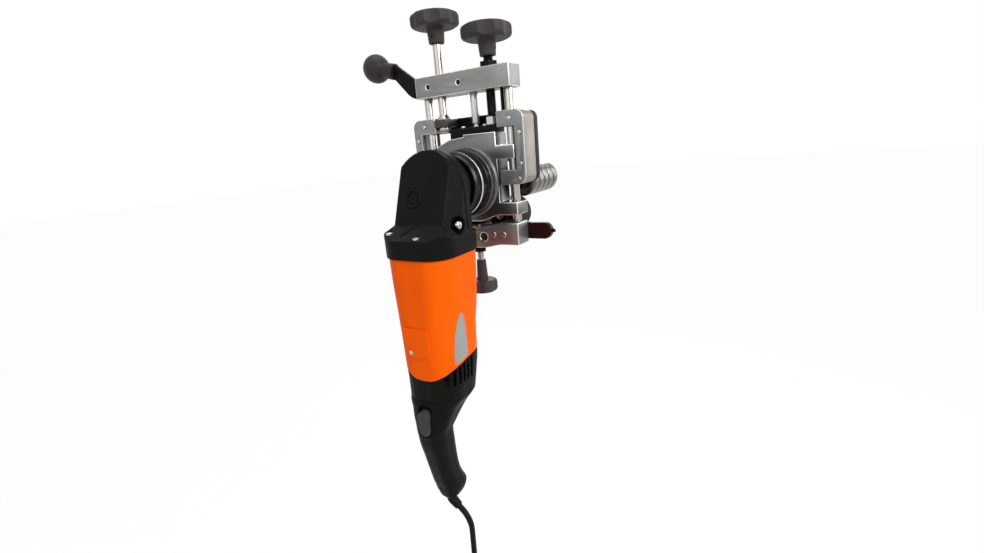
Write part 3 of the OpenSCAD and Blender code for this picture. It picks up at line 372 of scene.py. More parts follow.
# finishes, one for each slot of the record
looks = {
    "bar_aluminium": {"base": (0.26, 0.253, 0.242), "second": (0.225, 0.22, 0.21), "metal": 0.8, "rough": 0.4,
                      "stretch": (0.08, 1, 1.4), "grain": 1500, "roughVary": 0.1, "bump": 0.05,
                      "speck": 0.12},
    "plate_grey": {"base": (0.17, 0.171, 0.173), "second": (0.125, 0.126, 0.129), "metal": 0.9, "rough": 0.3,
                   "grain": 1300, "roughVary": 0.12, "bump": 0.06, "speck": 0.2},
    "block_aluminium": {"base": (0.27, 0.25, 0.222), "second": (0.23, 0.211, 0.187), "metal": 0.85,
                        "rough": 0.4, "stretch": (1, 1, 0.08), "grain": 1400, "roughVary": 0.16, "bump": 0.1,
                        "speck": 0.12, "wear": 0.4, "wearColour": (0.85, 0.82, 0.78)},
    "cover_grey": {"base": (0.27, 0.272, 0.276), "second": (0.23, 0.232, 0.237), "metal": 0.7, "rough": 0.4,
                   "grain": 1200, "roughVary": 0.12, "bump": 0.06, "speck": 0.14},
    # bright steel's warm tint is a painted reflection of warm surroundings
    "bright_steel": {"base": (0.5, 0.47, 0.44), "second": (0.42, 0.39, 0.36), "metal": 1.0, "rough": 0.2,
                     "stretch": (1, 1, 0.15), "grain": 2200, "roughVary": 0.06, "bump": 0.0, "speck": 0.08},
    "screw_steel": {"base": (0.6, 0.59, 0.57), "second": (0.52, 0.51, 0.49), "metal": 1.0, "rough": 0.28,
                    "grain": 2400, "roughVary": 0.12, "bump": 0.06, "speck": 0.18},
    "black_steel": {"base": (0.0062, 0.006, 0.0055), "second": (0.0085, 0.0082, 0.0077), "rough": 0.38,
                    "grain": 1700, "roughVary": 0.1, "bump": 0.06, "speck": 0.2, "specular": 0.07,
                    "wear": 0.3, "wearColour": (0.12, 0.115, 0.11), "wearReach": 0.0005},
    "dark_collar": {"base": (0.04, 0.0365, 0.0345), "second": (0.022, 0.02, 0.019), "metal": 0.9,
                    "rough": 0.26, "stretch": (1, 0.1, 1), "grain": 1500, "bump": 0.04, "speck": 0.2,
                    "specular": 0.2},
    "knob_black": {"base": (0.058, 0.051, 0.049), "second": (0.047, 0.042, 0.04), "rough": 0.5, "grain": 2600,
                   "roughVary": 0.12, "bump": 0.2, "speck": 0.2, "specular": 0.1},
    "ball_grey": {"base": (0.03, 0.0235, 0.0215), "second": (0.024, 0.0195, 0.018), "rough": 0.46,
                  "grain": 2200, "bump": 0.15, "speck": 0.2, "specular": 0.22},
    "shoe_red": {"base": (0.016, 0.0006, 0.0008), "second": (0.011, 0.0005, 0.0006), "rough": 0.34,
                 "grain": 1500, "bump": 0.08, "speck": 0.3, "specular": 0.14, "wear": 0.25,
                 "wearColour": (0.1, 0.02, 0.02)},
    "lug_steel": {"base": (0.1, 0.088, 0.074), "second": (0.06, 0.052, 0.043), "metal": 0.8, "rough": 0.36,
                  "grain": 1500, "speck": 0.25, "wear": 0.5, "wearColour": (0.5, 0.45, 0.4)},
    "roller_steel": {"base": (0.2, 0.19, 0.175), "second": (0.15, 0.141, 0.13), "metal": 1.0, "rough": 0.2,
                     "stretch": (1, 0.12, 1), "grain": 1800, "roughVary": 0.12, "bump": 0.03, "speck": 0.18},
    "roller_dark": {"base": (0.012, 0.0115, 0.011), "rough": 0.6, "grain": 1800, "bump": 0.15, "speck": 0.25,
                    "specular": 0.15},
    "housing_black": {"base": (0.0062, 0.006, 0.0057), "second": (0.005, 0.0048, 0.0045), "rough": 0.4,
                      "grain": 2400, "roughVary": 0.1, "bump": 0.1, "speck": 0.2, "specular": 0.06,
                      "wear": 0.1, "wearColour": (0.04, 0.04, 0.04), "wearReach": 0.0012},
    "housing_orange": {"base": (0.93, 0.112, 0.001), "second": (0.89, 0.104, 0.001), "rough": 0.42,
                       "grain": 2600, "roughVary": 0.08, "bump": 0.08, "speck": 0.03,
                       "speckColour": (0.5, 0.05, 0.0), "specular": 0.04},
    "switch_grey": {"base": (0.05, 0.05, 0.0515), "second": (0.042, 0.042, 0.0435), "rough": 0.55,
                    "grain": 2600, "bump": 0.14, "speck": 0.1, "specular": 0.15},
    "cord_black": {"base": (0.007, 0.0067, 0.0054), "second": (0.009, 0.0086, 0.007), "rough": 0.5,
                   "grain": 2200, "bump": 0.1, "speck": 0.15, "specular": 0.08},
    "gear_steel": {"base": (0.34, 0.32, 0.3), "metal": 1.0, "rough": 0.35, "grain": 1700, "speck": 0.2},
    "cutter_steel": {"base": (0.2, 0.2, 0.215), "metal": 0.9, "rough": 0.34, "grain": 1700, "speck": 0.2,
                     "wear": 0.5},
    "insert_gold": {"base": (0.62, 0.42, 0.1), "metal": 1.0, "rough": 0.25, "grain": 2000, "speck": 0.12},
    "winding_copper": {"base": (0.5, 0.21, 0.08), "metal": 0.9, "rough": 0.4, "stretch": (1, 1, 6),
                       "grain": 900, "speck": 0.3},
    "stator_iron": {"base": (0.09, 0.09, 0.095), "metal": 0.6, "rough": 0.55, "stretch": (0.05, 0.05, 6),
                    "grain": 700, "speck": 0.3},
    "bearing_steel": {"base": (0.5, 0.5, 0.5), "metal": 1.0, "rough": 0.2, "grain": 2000, "speck": 0.1},
}
finish = {slotName: makeFinish(slotName + "Finish", look) for slotName, look in looks.items()}
plateFinish = makeFinish("barePlateFinish", {"base": (0.33, 0.33, 0.315), "second": (0.29, 0.29, 0.28),
                                             "metal": 0.3, "rough": 0.36, "stretch": (1, 0.1, 1),
                                             "grain": 1800, "bump": 0.05, "speck": 0.1})
# bright chamfer finish: polished metal, and partly a painted edge highlight
polishAndHighlightFinish = makeFinish("polishedEdgeAndHighlightFinish", {"base": (0.78, 0.77, 0.75), "metal": 1.0, "rough": 0.26,
                                                   "grain": 2000, "bump": 0.0, "speck": 0.06})
pinFinish = makeFinish("plugPinFinish", {"base": (0.62, 0.58, 0.5), "metal": 1.0, "rough": 0.22,
                                         "grain": 2000, "speck": 0.1})
print("finishes made:", len(finish) + 3)


# cord, hank, tie and plug
cordSet = {"thick": 6.5, "lineY": -124.0, "gripEnd": -325.0, "hankX": 35.0, "hankHigh": 60.0, "hankZ": -520.0,
           "pitch": 7.3, "loops": 12, "perLoop": 48, "freeSteps": 6, "tail": 120.0, "tailSteps": 12}
tailY = cordSet["lineY"] - cordSet["pitch"] * cordSet["loops"]


def cordRoute():
    x, y, e, z = (cordSet[k] for k in ("hankX", "lineY", "gripEnd", "hankZ"))
    free = [(9.5, y, e - 12.8), (13.5, y, e - 16.1), (17.2, y, e - 19.8), (20.1, y, e - 24.1),
            (22.3, y, e - 28.8), (23.7, y, e - 33.8), (24.1, y, e - 39), (24.1, y, e - 44.3),
            (23.9, y, e - 56), (23.6, y, e - 78), (24.8, y, -428), (28.4, y, -450), (32.8, y, -472),
            (x, y, -494), (x, y, z + 0.3)]
    points = curveThrough(free, cordSet["freeSteps"])
    for k in range(cordSet["perLoop"] * cordSet["loops"] + 1):
        turns = k / cordSet["perLoop"]
        a = math.radians(90 + 360 * turns)
        points.append(Vector((x * math.sin(a), y - cordSet["pitch"] * turns,
                              z + cordSet["hankHigh"] * math.cos(a))))
    for k in range(1, cordSet["tailSteps"] + 1):
        points.append(Vector((x, tailY, z - cordSet["tail"] * k / cordSet["tailSteps"])))
    return points


def layCord():
    route = cordRoute()
    data = bpy.data.curves.new("mainsLead", "CURVE")
    data.dimensions, data.use_fill_caps = "3D", True
    data.bevel_depth, data.bevel_resolution = cordSet["thick"] / 2 * mm, 3
    line = data.splines.new("POLY")
    line.points.add(len(route) - 1)
    for point, place in zip(line.points, route):
        point.co = (*(place * mm), 1)
    lead = link("mainsLead", data)
    data.materials.append(finish["cord_black"])
    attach(lead, "motor_carriage")
    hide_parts("mains_cord", "cord_hank")
    length = sum((b - a).length for a, b in zip(route, route[1:])) * mm
    return lead, route, length


plugSet = {"body": [(4.4, 0), (4.7, -3), (5.4, -3.6), (5.4, -5.4), (4.9, -6), (5.2, -8), (6.1, -8.6),
                    (6.1, -10.6), (5.6, -11.2), (6.2, -13.4), (7.2, -14), (7.2, -16), (8.5, -18.5), (12, -22),
                    (15.5, -25.4), (17.6, -28), (18.4, -31), (18.0, -33), (18.5, -35), (18.0, -37),
                    (18.5, -39), (18.0, -41), (18.5, -43), (18.5, -47.5), (17.6, -49.6), (16, -50)],
           "pinApart": 9.5,
           "pin": [(2.4, -49.5), (2.4, -58), (2.15, -58.4), (2.15, -66.5), (1.6, -68.3), (0.8, -69)]}


def makePlug():
    bm = bmesh.new()
    x, z = cordSet["hankX"], cordSet["hankZ"] - cordSet["tail"]
    addLathe(bm, (x, tailY, z), (0, 0, 1), plugSet["body"], 56)
    for s in (-1, 1):
        addLathe(bm, (x + s * plugSet["pinApart"], tailY, z), (0, 0, 1), plugSet["pin"], 24, finishIndex=1)
    return pieceFrom("plugMoulded", bm, "plug", [finish["cord_black"], pinFinish], sharpAngle=40)


tieSet = {"thick": 1.2, "tall": 5.6, "soft": 0.3, "room": 0.6, "endRoom": 1.0, "corner": 2.5, "nestle": 0.25,
          "buckle": (3.2, 0.9, 0.5), "buckleOut": 1.5, "buckleRows": (-6.6, -6, 6, 6.6)}


def makeTie():
    bm = bmesh.new()
    thick, tall, soft = (tieSet[k] for k in ("thick", "tall", "soft"))
    half, nestle = cordSet["thick"] / 2, cordSet["pitch"] * tieSet["nestle"]
    low, high = tailY - half + nestle, cordSet["lineY"] + half - nestle
    middle = Vector((-cordSet["hankX"], (low + high) / 2, cordSet["hankZ"]))
    section = [(0, -tall), (soft, -tall - soft), (thick - soft, -tall - soft), (thick, -tall),
               (thick, tall), (thick - soft, tall + soft), (soft, tall + soft), (0, tall)]
    rings = []
    for out, up in section:
        ring = roundedRing(0, 0, half + tieSet["room"] + out, (high - low) / 2 + tieSet["endRoom"] + out,
                           tieSet["corner"] + out, up, 8)
        rings.append([middle + p for p in ring])
    addRings(bm, rings + [rings[0]], False, False)
    bmesh.ops.remove_doubles(bm, verts=bm.verts, dist=0.001)
    buckle = roundedRing(middle.x, low - thick - tieSet["buckleOut"], *tieSet["buckle"], 0, 4)
    addRings(bm, [[Vector((p.x, p.y, middle.z + z)) for p in buckle] for z in tieSet["buckleRows"]])
    return pieceFrom("hankStrap", bm, "hank_tie", sharpAngle=40)


lead, route, leadLength = layCord()
plugPiece, tiePiece = makePlug(), makeTie()
print("cord laid, %.2f m" % leadLength)


# strain relief: a smooth tapering sleeve that bends toward the cord
bootSet = {"path": [(0, 12), (0, 4), (0.2, -1.5), (1.4, -5.6), (5, -9.1), (9.5, -12.8)], "steps": 8,
           "thick": [5.6, 5.5, 5.6, 5.5, 5.2, 4.7], "sides": 32, "endRings": [(0.9, 0.35), (0.68, 0.4)]}


def makeBoot():
    bm = bmesh.new()
    path = curveThrough([(x, cordSet["lineY"], cordSet["gripEnd"] + z) for x, z in bootSet["path"]],
                        bootSet["steps"])
    across, thick = Vector((0, 1, 0)), bootSet["thick"]
    rings = []
    for i, p in enumerate(path):
        ahead = (path[min(i + 1, len(path) - 1)] - path[max(i - 1, 0)]).normalized()
        k = min(i / bootSet["steps"], len(thick) - 1.001)
        radius = thick[int(k)] + (thick[int(k) + 1] - thick[int(k)]) * (k - int(k))
        rings.append(pointsAround(p, ahead.cross(across).normalized(), across, radius, bootSet["sides"]))
    last = rings[-1]
    middle, onward = sum(last, Vector()) / len(last), (path[-1] - path[-2]).normalized()
    for shrink, reach in bootSet["endRings"]:
        rings.append([middle + (q - middle) * shrink + onward * reach for q in last])
    addRings(bm, rings)
    return pieceFrom("bootSleeve", bm, "cord_boot")


makeBoot()


# motor: orange shell with a hollow on each side; rings are height, Y, half widths and corner
motor = {"y": -107.0, "rings": [(-182, -6, 32, 33, 24), (-165, -4.5, 33.5, 34, 24),
                                (-110, -2, 35.8, 36.2, 25), (-75, -0.8, 37.4, 37.5, 25),
                                (-49, 0, 38, 38, 25)],
         "top": -49.0, "edge": -172.0, "wall": 3.0, "rows": 110, "around": 176,
         "rimRise": 14.0, "rimHalf": 36.0, "rimY": -145.0, "rimTilt": 8.0,
         "topRoll": (0.7, 1.2), "rimRoll": (0.5, 1.0),
         "scoopDeep": 1.5, "scoopTop": -76.0, "scoopFoot": -168.0, "scoopHalf": 31.0, "scoopEdge": 4.0,
         "scoopArch": 60.0, "scoopY": -109.5, "scoopFade": 0.75, "fadeTop": -118.0, "scoopSide": (0.35, 0.85)}


def edgeHeight(x, y):  # the slanted lower rim, lowest at the front
    tilt = math.radians(motor["rimTilt"])
    dip = motor["edge"] + motor["rimRise"] * (min(abs(x), motor["rimHalf"]) / motor["rimHalf"]) ** 2
    return (y - motor["rimY"]) * math.tan(tilt) + dip / math.cos(tilt)


def shellRing(z):
    rings = motor["rings"]
    z = min(max(z, rings[0][0]), rings[-1][0])
    low, high = next(pair for pair in zip(rings, rings[1:]) if z <= pair[1][0])
    t = (z - low[0]) / (high[0] - low[0])
    cy, hx, hy, rc = (a + (b - a) * t for a, b in zip(low[1:], high[1:]))
    return motor["y"] + cy, hx, hy, rc


def scoopDepth(y, z, outward):  # arch shaped hollow, only on the flat of the side
    if z > motor["scoopTop"]:
        return 0.0
    fall = min((motor["scoopTop"] - z) / motor["scoopArch"], 1)
    half = motor["scoopHalf"] * math.sqrt(1 - (1 - fall) ** 2)
    inside = smoothStep(0, motor["scoopEdge"], half - abs(y - motor["scoopY"]))
    fade = 1 - motor["scoopFade"] * smoothStep(motor["fadeTop"], motor["scoopFoot"], z)
    return motor["scoopDeep"] * inside * fade * smoothStep(*motor["scoopSide"], outward)


def makeShell():
    bm = bmesh.new()
    top, wall = motor["top"], motor["wall"]
    (topRoll, topReach), (rimRoll, rimReach) = motor["topRoll"], motor["rimRoll"]
    outer, inner = [], []
    for r in range(motor["rows"] + 1):
        t = r / motor["rows"]
        rowOut, rowIn = [], []
        cy, hx, hy, rc = shellRing(top + (motor["edge"] - top) * t)
        for p in evenRing(roundedRing(0, cy, hx, hy, rc, 0), motor["around"]):
            low = edgeHeight(p.x, p.y)
            z = top + (low - top) * t
            cyHere, hxHere, hyHere, _ = shellRing(z)
            x, y = p.x * hxHere / hx, cyHere + (p.y - cy) * hyHere / hy
            outward = abs(x) / hxHere
            roll = topRoll * smoothStep(top - topReach, top, z) + rimRoll * smoothStep(low + rimReach, low, z)
            inset = scoopDepth(y, z, outward) + roll * min(1, outward)
            rowOut.append(Vector((x - math.copysign(inset, x), y - roll * (y - cyHere) / hyHere, z)))
            rowIn.append(Vector((x * (1 - wall / hxHere), cyHere + (y - cyHere) * (1 - wall / hyHere), z)))
        outer.append(rowOut)
        inner.append(rowIn)
    addRings(bm, outer + inner[::-1] + [outer[0]], False, False)
    bmesh.ops.remove_doubles(bm, verts=bm.verts, dist=0.002)
    return pieceFrom("motorShell", bm, "motor_housing", sharpAngle=50)


makeShell()

# bare plate on the right side, with a round tip and a slanted foot; places are Y and height
barePlate = {"tip": (-117.5, -106.3), "leftFoot": (-131.0, -157.0), "rightFoot": (-112.0, -154.0),
             "lift": 0.3, "under": 0.6, "tipRound": 1.35, "leftBow": 0.72, "rightBow": 1.3, "widen": 0.6,
             "rows": 40, "across": 16}


def sideX(y, z):
    cy, hx, hy, rc = shellRing(z)
    over = max(abs(y - cy) - (hy - rc), 0)
    x = hx - rc + math.sqrt(max(rc * rc - over * over, 0))
    return x - scoopDepth(y, z, x / hx)


def plateGrid(grow):
    (tipY, tipZ), (leftY, leftZ), (rightY, rightZ) = (barePlate[k] for k in ("tip", "leftFoot", "rightFoot"))
    grid = []
    for r in range(barePlate["rows"] + 1):
        t = r / barePlate["rows"]
        swell = math.sqrt(1 - (1 - min(t * barePlate["tipRound"], 1)) ** 2)
        left, right = (tipY + (foot - tipY) * (bow * swell + (1 - bow) * t) + s * barePlate["widen"] * swell
                       for foot, bow, s in ((leftY, barePlate["leftBow"], -1),
                                            (rightY, barePlate["rightBow"], 1)))
        row = []
        for c in range(barePlate["across"] + 1):
            u = c / barePlate["across"]
            y, foot = left + (right - left) * u, leftZ + (rightZ - leftZ) * u
            z = tipZ + (foot - tipZ) * t
            row.append(Vector((sideX(y, z) + grow, y, z)))
        grid.append(row)
    return grid


def gridRim(grid):
    return grid[0] + [r[-1] for r in grid[1:]] + grid[-1][-2::-1] + [r[0] for r in grid[-2:0:-1]]


def makeBarePlate():
    bm = bmesh.new()
    grids = [plateGrid(barePlate["lift"]), plateGrid(-barePlate["under"])]
    front, back = [[[bm.verts.new(p) for p in row] for row in grid] for grid in grids]
    for grid in (front, back):
        for a, b in zip(grid, grid[1:]):
            for i in range(len(a) - 1):
                bm.faces.new((a[i], a[i + 1], b[i + 1], b[i]))
    rimFront, rimBack = gridRim(front), gridRim(back)
    for i in range(len(rimFront)):
        j = (i + 1) % len(rimFront)
        bm.faces.new((rimFront[i], rimFront[j], rimBack[j], rimBack[i]))
    bmesh.ops.remove_doubles(bm, verts=bm.verts, dist=0.02)
    return pieceFrom("barePlate", bm, None, [plateFinish], "motor_carriage", 50)


makeBarePlate()
dressNode("brush_covers", 0.7, 3)


# handle: long grip with a swelling at its end, switch recess at the front; rings as the motor's
grip = {"rings": [(-325, -124, 7.5, 7.5, 7.3), (-321, -122.2, 11.5, 12, 10), (-316, -120.6, 14, 15, 12),
                  (-309, -120.8, 15.5, 16.5, 12.5), (-300, -124.5, 15, 15.8, 12),
                  (-290, -127.8, 14.6, 15, 11.5), (-276, -130.8, 14.8, 15.2, 11.5),
                  (-262, -133, 15.4, 16, 12), (-248, -135.2, 16.2, 17, 12.5), (-233, -136.3, 17, 17.5, 13),
                  (-225, -133, 19.5, 20, 15), (-216, -128.5, 22.5, 23.5, 17), (-207, -123, 26, 26.5, 19),
                  (-201, -118.5, 29.5, 30, 22), (-197.5, -115.3, 31, 31.5, 23),
                  (-197, -115, 30.6, 31.1, 22.6)],
        "switchZ": -217.0, "switchHalf": (7.9, 16.7), "switchDeep": 4.2, "wallEnds": (0.7, -0.9),
        "lipHigh": 0.5, "lipOuter": (4.0, 1.6), "lipInner": (0.4, 1.6), "rows": 170, "around": 120}


def gripAt(z):  # smooth from ring to ring without overshoot
    rows = grip["rings"]
    for i, (low, high) in enumerate(zip(rows, rows[1:])):
        if z <= high[0]:
            step = high[0] - low[0]
            t = (z - low[0]) / step
            before, after = rows[max(i - 1, 0)], rows[min(i + 2, len(rows) - 1)]
            out = []
            for c in range(1, 5):
                span = high[c] - low[c]
                limit = 3 * abs(span)
                slopes = ((high[c] - before[c]) / (high[0] - before[0]) * step,
                          (after[c] - low[c]) / (after[0] - low[0]) * step)
                slopeLow, slopeHigh = (max(-limit, min(limit, s)) if s * span > 0 else 0.0 for s in slopes)
                out.append((2 * t ** 3 - 3 * t ** 2 + 1) * low[c] + (t ** 3 - 2 * t ** 2 + t) * slopeLow
                           + (3 * t ** 2 - 2 * t ** 3) * high[c] + (t ** 3 - t ** 2) * slopeHigh)
            return out
    return rows[-1][1:]


def switchHollow(x, z):  # recess with a low raised lip around it
    wide, tall = grip["switchHalf"]
    off = math.hypot(x, max(abs(z - grip["switchZ"]) - (tall - wide), 0)) - wide
    lip = grip["lipHigh"] * smoothStep(*grip["lipOuter"], off) * smoothStep(*grip["lipInner"], off)
    return grip["switchDeep"] * smoothStep(*grip["wallEnds"], off) - lip


def makeGrip():
    bm = bmesh.new()
    low, high = grip["rings"][0][0], grip["rings"][-1][0]
    rings = []
    for r in range(grip["rows"] + 1):
        z = low + (high - low) * r / grip["rows"]
        cy, hx, hy, rc = gripAt(z)
        ring = evenRing(roundedRing(0, cy, hx, hy, rc, z), grip["around"])
        for p in ring:
            if p.y < cy:
                p.y += switchHollow(p.x, z)
        rings.append(ring)
    addRings(bm, rings)
    return pieceFrom("gripShell", bm, "handle_shell", sharpAngle=55)


makeGrip()
moulded("switch_button", 0.45, 5)
moulded("vent_ring", 0.8, 3, sharpAngle=60)

# gear head: seam around the casting, slot in the shelf; the shelf is Y, height and rise
headSet = {"voxel": 0.65, "rounds": 9, "axisZ": 12.0, "seamY": -96.0, "seamWide": 1.1, "seamDeep": 1.5,
           "seamLow": -27.0, "seamRadius": 30.0, "shelf": (-145.0, -30.0, 0.55), "shelfBack": -122.0,
           "shelfHigh": (-36.0, -10.0), "slotFrom": (-9.9, -137.9), "slotTo": (0.3, -125.0), "slotHalf": 1.9,
           "slotDeep": 5.0, "slotSnap": 0.4, "slotReach": 2.0}


def fromSlot(p):
    start, end = Vector(headSet["slotFrom"]), Vector(headSet["slotTo"])
    t = max(0, min(1, (p.xy - start).dot(end - start) / (end - start).length_squared))
    return p.xy - start.lerp(end, t)


def cutSlot(co):
    y, z, rise = headSet["shelf"]
    top, away = z + rise * (co.y - y), fromSlot(co)
    gap = away.length - headSet["slotHalf"]
    if co.z < top + headSet["slotReach"]:
        if gap < -headSet["slotSnap"]:
            co.z = top - headSet["slotDeep"]
        elif gap < headSet["slotSnap"]:  # the rim lies on a clean line
            co.xy -= away.normalized() * gap
            co.z = top


def makeGearHead():
    bm = mouldedShape("gear_head", headSet["voxel"], headSet["rounds"])
    bm.normal_update()
    for v in bm.verts:
        near = 1 - abs(v.co.y - headSet["seamY"]) / headSet["seamWide"]
        outside = math.hypot(v.co.x, v.co.z - headSet["axisZ"]) > headSet["seamRadius"]
        if near > 0 and v.co.z > headSet["seamLow"] and outside:
            v.co -= v.normal * headSet["seamDeep"] * near
        elif v.co.y < headSet["shelfBack"] and headSet["shelfHigh"][0] < v.co.z < headSet["shelfHigh"][1]:
            cutSlot(v.co)
    return pieceFrom("gearHeadCast", bm, "gear_head", sharpAngle=75)


makeGearHead()
for knob, voxel in (("clamp_knob", 0.7), ("feed_knob", 0.7), ("stop_knob", 0.5)):
    moulded(knob, voxel, 7)
moulded("end_shoes", 0.7, 4)
print("motor, handle and knobs made")


# ball of the side handle
ballSet = {"foot": (-105.85, -4.0, 142.4), "along": (-0.9677, 0, 0.2521), "radius": 16.5, "middle": 31.4,
           "neck": [(8.8, 2), (9.2, 2.6), (9.1, 8), (8.9, 13), (8.8, 16.4)],
           "from": -57.0, "to": 90.0, "steps": 40}


def makeBall():
    bm = bmesh.new()
    profile, radius = list(ballSet["neck"]), ballSet["radius"]
    for k in range(ballSet["steps"]):
        a = math.radians(ballSet["from"] + (ballSet["to"] - ballSet["from"]) * k / (ballSet["steps"] - 1))
        profile.append((max(radius * math.cos(a), 0.01), ballSet["middle"] + radius * math.sin(a)))
    addLathe(bm, ballSet["foot"], ballSet["along"], profile, 64)
    return pieceFrom("sideBall", bm, "ball_knob", sharpAngle=45)


makeBall()


# threaded screws; a plain part is radius and height
threads = {"endLong": 1.6, "endCut": 0.9, "flank": 2.6, "around": 40, "perStep": 6}
feedScrew = {"place": (31, -21), "low": 78.0, "high": 149.0, "radius": 5.0, "step": 1.5, "starts": 2,
             "deep": 0.75, "hexRadius": 7.5, "hexRows": [(0.93, 70.2), (1, 70.9), (1, 77.6), (0.9, 78.6)],
             "plain": [(3.4, 63.3), (3.5, 63.6), (3.5, 70.6)]}
stopScrew = {"place": (0, -19), "low": -89.0, "high": -43.3, "radius": 4.0, "step": 1.25, "starts": 1,
             "deep": 0.6, "plain": [(2.5, -44), (2.5, -39.4), (2.1, -39.0)]}


def addThread(bm, spec):
    (x, y), low, high = spec["place"], spec["low"], spec["high"]
    rows = int((high - low) / spec["step"] * threads["perStep"])
    rings = []
    for r in range(rows + 1):
        z = low + (high - low) * r / rows
        taper = min(1, (high - z) / threads["endLong"], (z - low) / threads["endLong"])
        ring = []
        for i in range(threads["around"]):
            turn = i / threads["around"]
            phase = (z / spec["step"] - spec["starts"] * turn) % 1
            cut = spec["deep"] * (1 - min(abs(phase - 0.5) * threads["flank"], 1))
            radius = spec["radius"] - cut - threads["endCut"] * (1 - taper)
            a = 2 * math.pi * turn
            ring.append(Vector((x + radius * math.cos(a), y + radius * math.sin(a), z)))
        rings.append(ring)
    addRings(bm, rings)


def makeFeedScrew():
    bm = bmesh.new()
    addThread(bm, feedScrew)
    (x, y), across, over = feedScrew["place"], Vector((1, 0, 0)), Vector((0, 1, 0))
    addRings(bm, [pointsAround(Vector((x, y, z)), across, over, feedScrew["hexRadius"] * cut, 6)
                  for cut, z in feedScrew["hexRows"]], finishIndex=1)
    addLathe(bm, (x, y, 0), (0, 0, 1), feedScrew["plain"], 32)
    return pieceFrom("feedScrewCut", bm, "feed_screw", [finish["black_steel"], finish["screw_steel"]],
                     sharpAngle=30)


def makeStopScrew():
    bm = bmesh.new()
    addThread(bm, stopScrew)
    addLathe(bm, (*stopScrew["place"], 0), (0, 0, 1), stopScrew["plain"], 24)
    return pieceFrom("stopScrewCut", bm, "stop_screw", sharpAngle=30)


makeFeedScrew()
makeStopScrew()


# small fasteners: round heads with a driven recess
screwHead = {"sides": 48, "rings": [(0.97, 0), (1, 0.15), (1, 0.75), (0.9, 0.97), (0.72, 1)], "recess": 0.5,
             "recessRings": [(1.06, 1), (0.98, 0.86), (0.9, 0.35)], "crossArm": 0.42,
             "slotLong": 1.5, "slotWide": 0.17, "slotSoft": 0.1}


def recessRadius(kind, radius, a):
    if kind == "hex":
        return radius * math.cos(math.radians(30)) / math.cos((a % math.radians(60)) - math.radians(30))
    if kind == "cross":
        arm = screwHead["crossArm"]
        return radius * (1 if abs(math.sin(2 * a)) < arm else arm)
    wide = screwHead["slotWide"] * radius / max(abs(math.sin(a)), 1e-3)
    return min(radius * screwHead["slotLong"], wide + screwHead["slotSoft"])


def addScrew(bm, place, along, spec):
    along, side, over = axisFrame(along)
    place, head, high, sides = Vector(place), spec["head"], spec["high"], screwHead["sides"]

    def circle(radius, up):
        return pointsAround(place + along * up, side, over, radius, sides)

    def cut(scale, up):
        ring = []
        for i in range(sides):
            a = 2 * math.pi * i / sides
            r = recessRadius(spec["recess"], head * screwHead["recess"], a) * scale
            ring.append(place + along * up + side * r * math.cos(a) + over * r * math.sin(a))
        return ring

    addRings(bm, [circle(spec["shank"], -spec["length"]), circle(spec["shank"], 0)]
             + [circle(head * wide, high * up) for wide, up in screwHead["rings"]]
             + [cut(wide, high * up) for wide, up in screwHead["recessRings"]])


frameScrews = {"arm": {"head": 4, "high": 3, "shank": 2, "length": 11, "recess": "hex"},
               "armSpots": [(-55, -1, 116), (-40, -1, 116)],
               "bar": {"head": 3.3, "high": 1.6, "shank": 2, "length": 29, "recess": "slot"},
               "barX": (27, 40), "barPlace": (-31, -45.5),
               "tipPlace": (80, -3.5, -45), "tip": [(2, 0), (2, 8.4), (1.5, 8.9), (0.6, 9)]}


def makeFrameScrews():
    bm = bmesh.new()
    for spot in frameScrews["armSpots"]:
        addScrew(bm, spot, (0, 1, 0), frameScrews["arm"])
    for s in (-1, 1):
        for x in frameScrews["barX"]:
            addScrew(bm, (s * x, *frameScrews["barPlace"]), (0, -1, 0), frameScrews["bar"])
        x, y, z = frameScrews["tipPlace"]
        addLathe(bm, (s * x, y, z), (s, 0, 0), frameScrews["tip"], 28, finishIndex=1)
    finishes = [finish["screw_steel"], finish["black_steel"]]
    return pieceFrom("frameScrewsCut", bm, "frame_screws", finishes, sharpAngle=35)


# front spots are X and height; the outer ones are longer and have a rear screw behind them
carriageScrews = {"spots": [(54.5, 75), (65, 60), (65, 29), (62, 14)],
                  "innerX": 58.0, "frontY": -28.5, "rearY": 6.5,
                  "front": {"head": 2.0, "high": 1.2, "shank": 1.25, "length": 8.4, "recess": "cross"},
                  "short": {"head": 2.0, "high": 1.2, "shank": 1.25, "length": 3.6, "recess": "cross"},
                  "rear": {"head": 2.4, "high": 1.2, "shank": 1.25, "length": 15, "recess": "cross"},
                  "pinSpots": [(-36, 0, 77), (-26, 0, 77)], "pin": [(1.5, -11), (1.5, 1)]}


def makeCarriageScrews():
    bm = bmesh.new()
    for s in (-1, 1):
        for x, z in carriageScrews["spots"]:
            outer = x > carriageScrews["innerX"]
            front = carriageScrews["front" if outer else "short"]
            addScrew(bm, (s * x, carriageScrews["frontY"], z), (0, -1, 0), front)
            if outer:
                addScrew(bm, (s * x, carriageScrews["rearY"], z), (0, 1, 0), carriageScrews["rear"])
    for spot in carriageScrews["pinSpots"]:
        addLathe(bm, spot, (0, 1, 0), carriageScrews["pin"], 24)
    return pieceFrom("carriageScrewsCut", bm, "carriage_screws", sharpAngle=35)


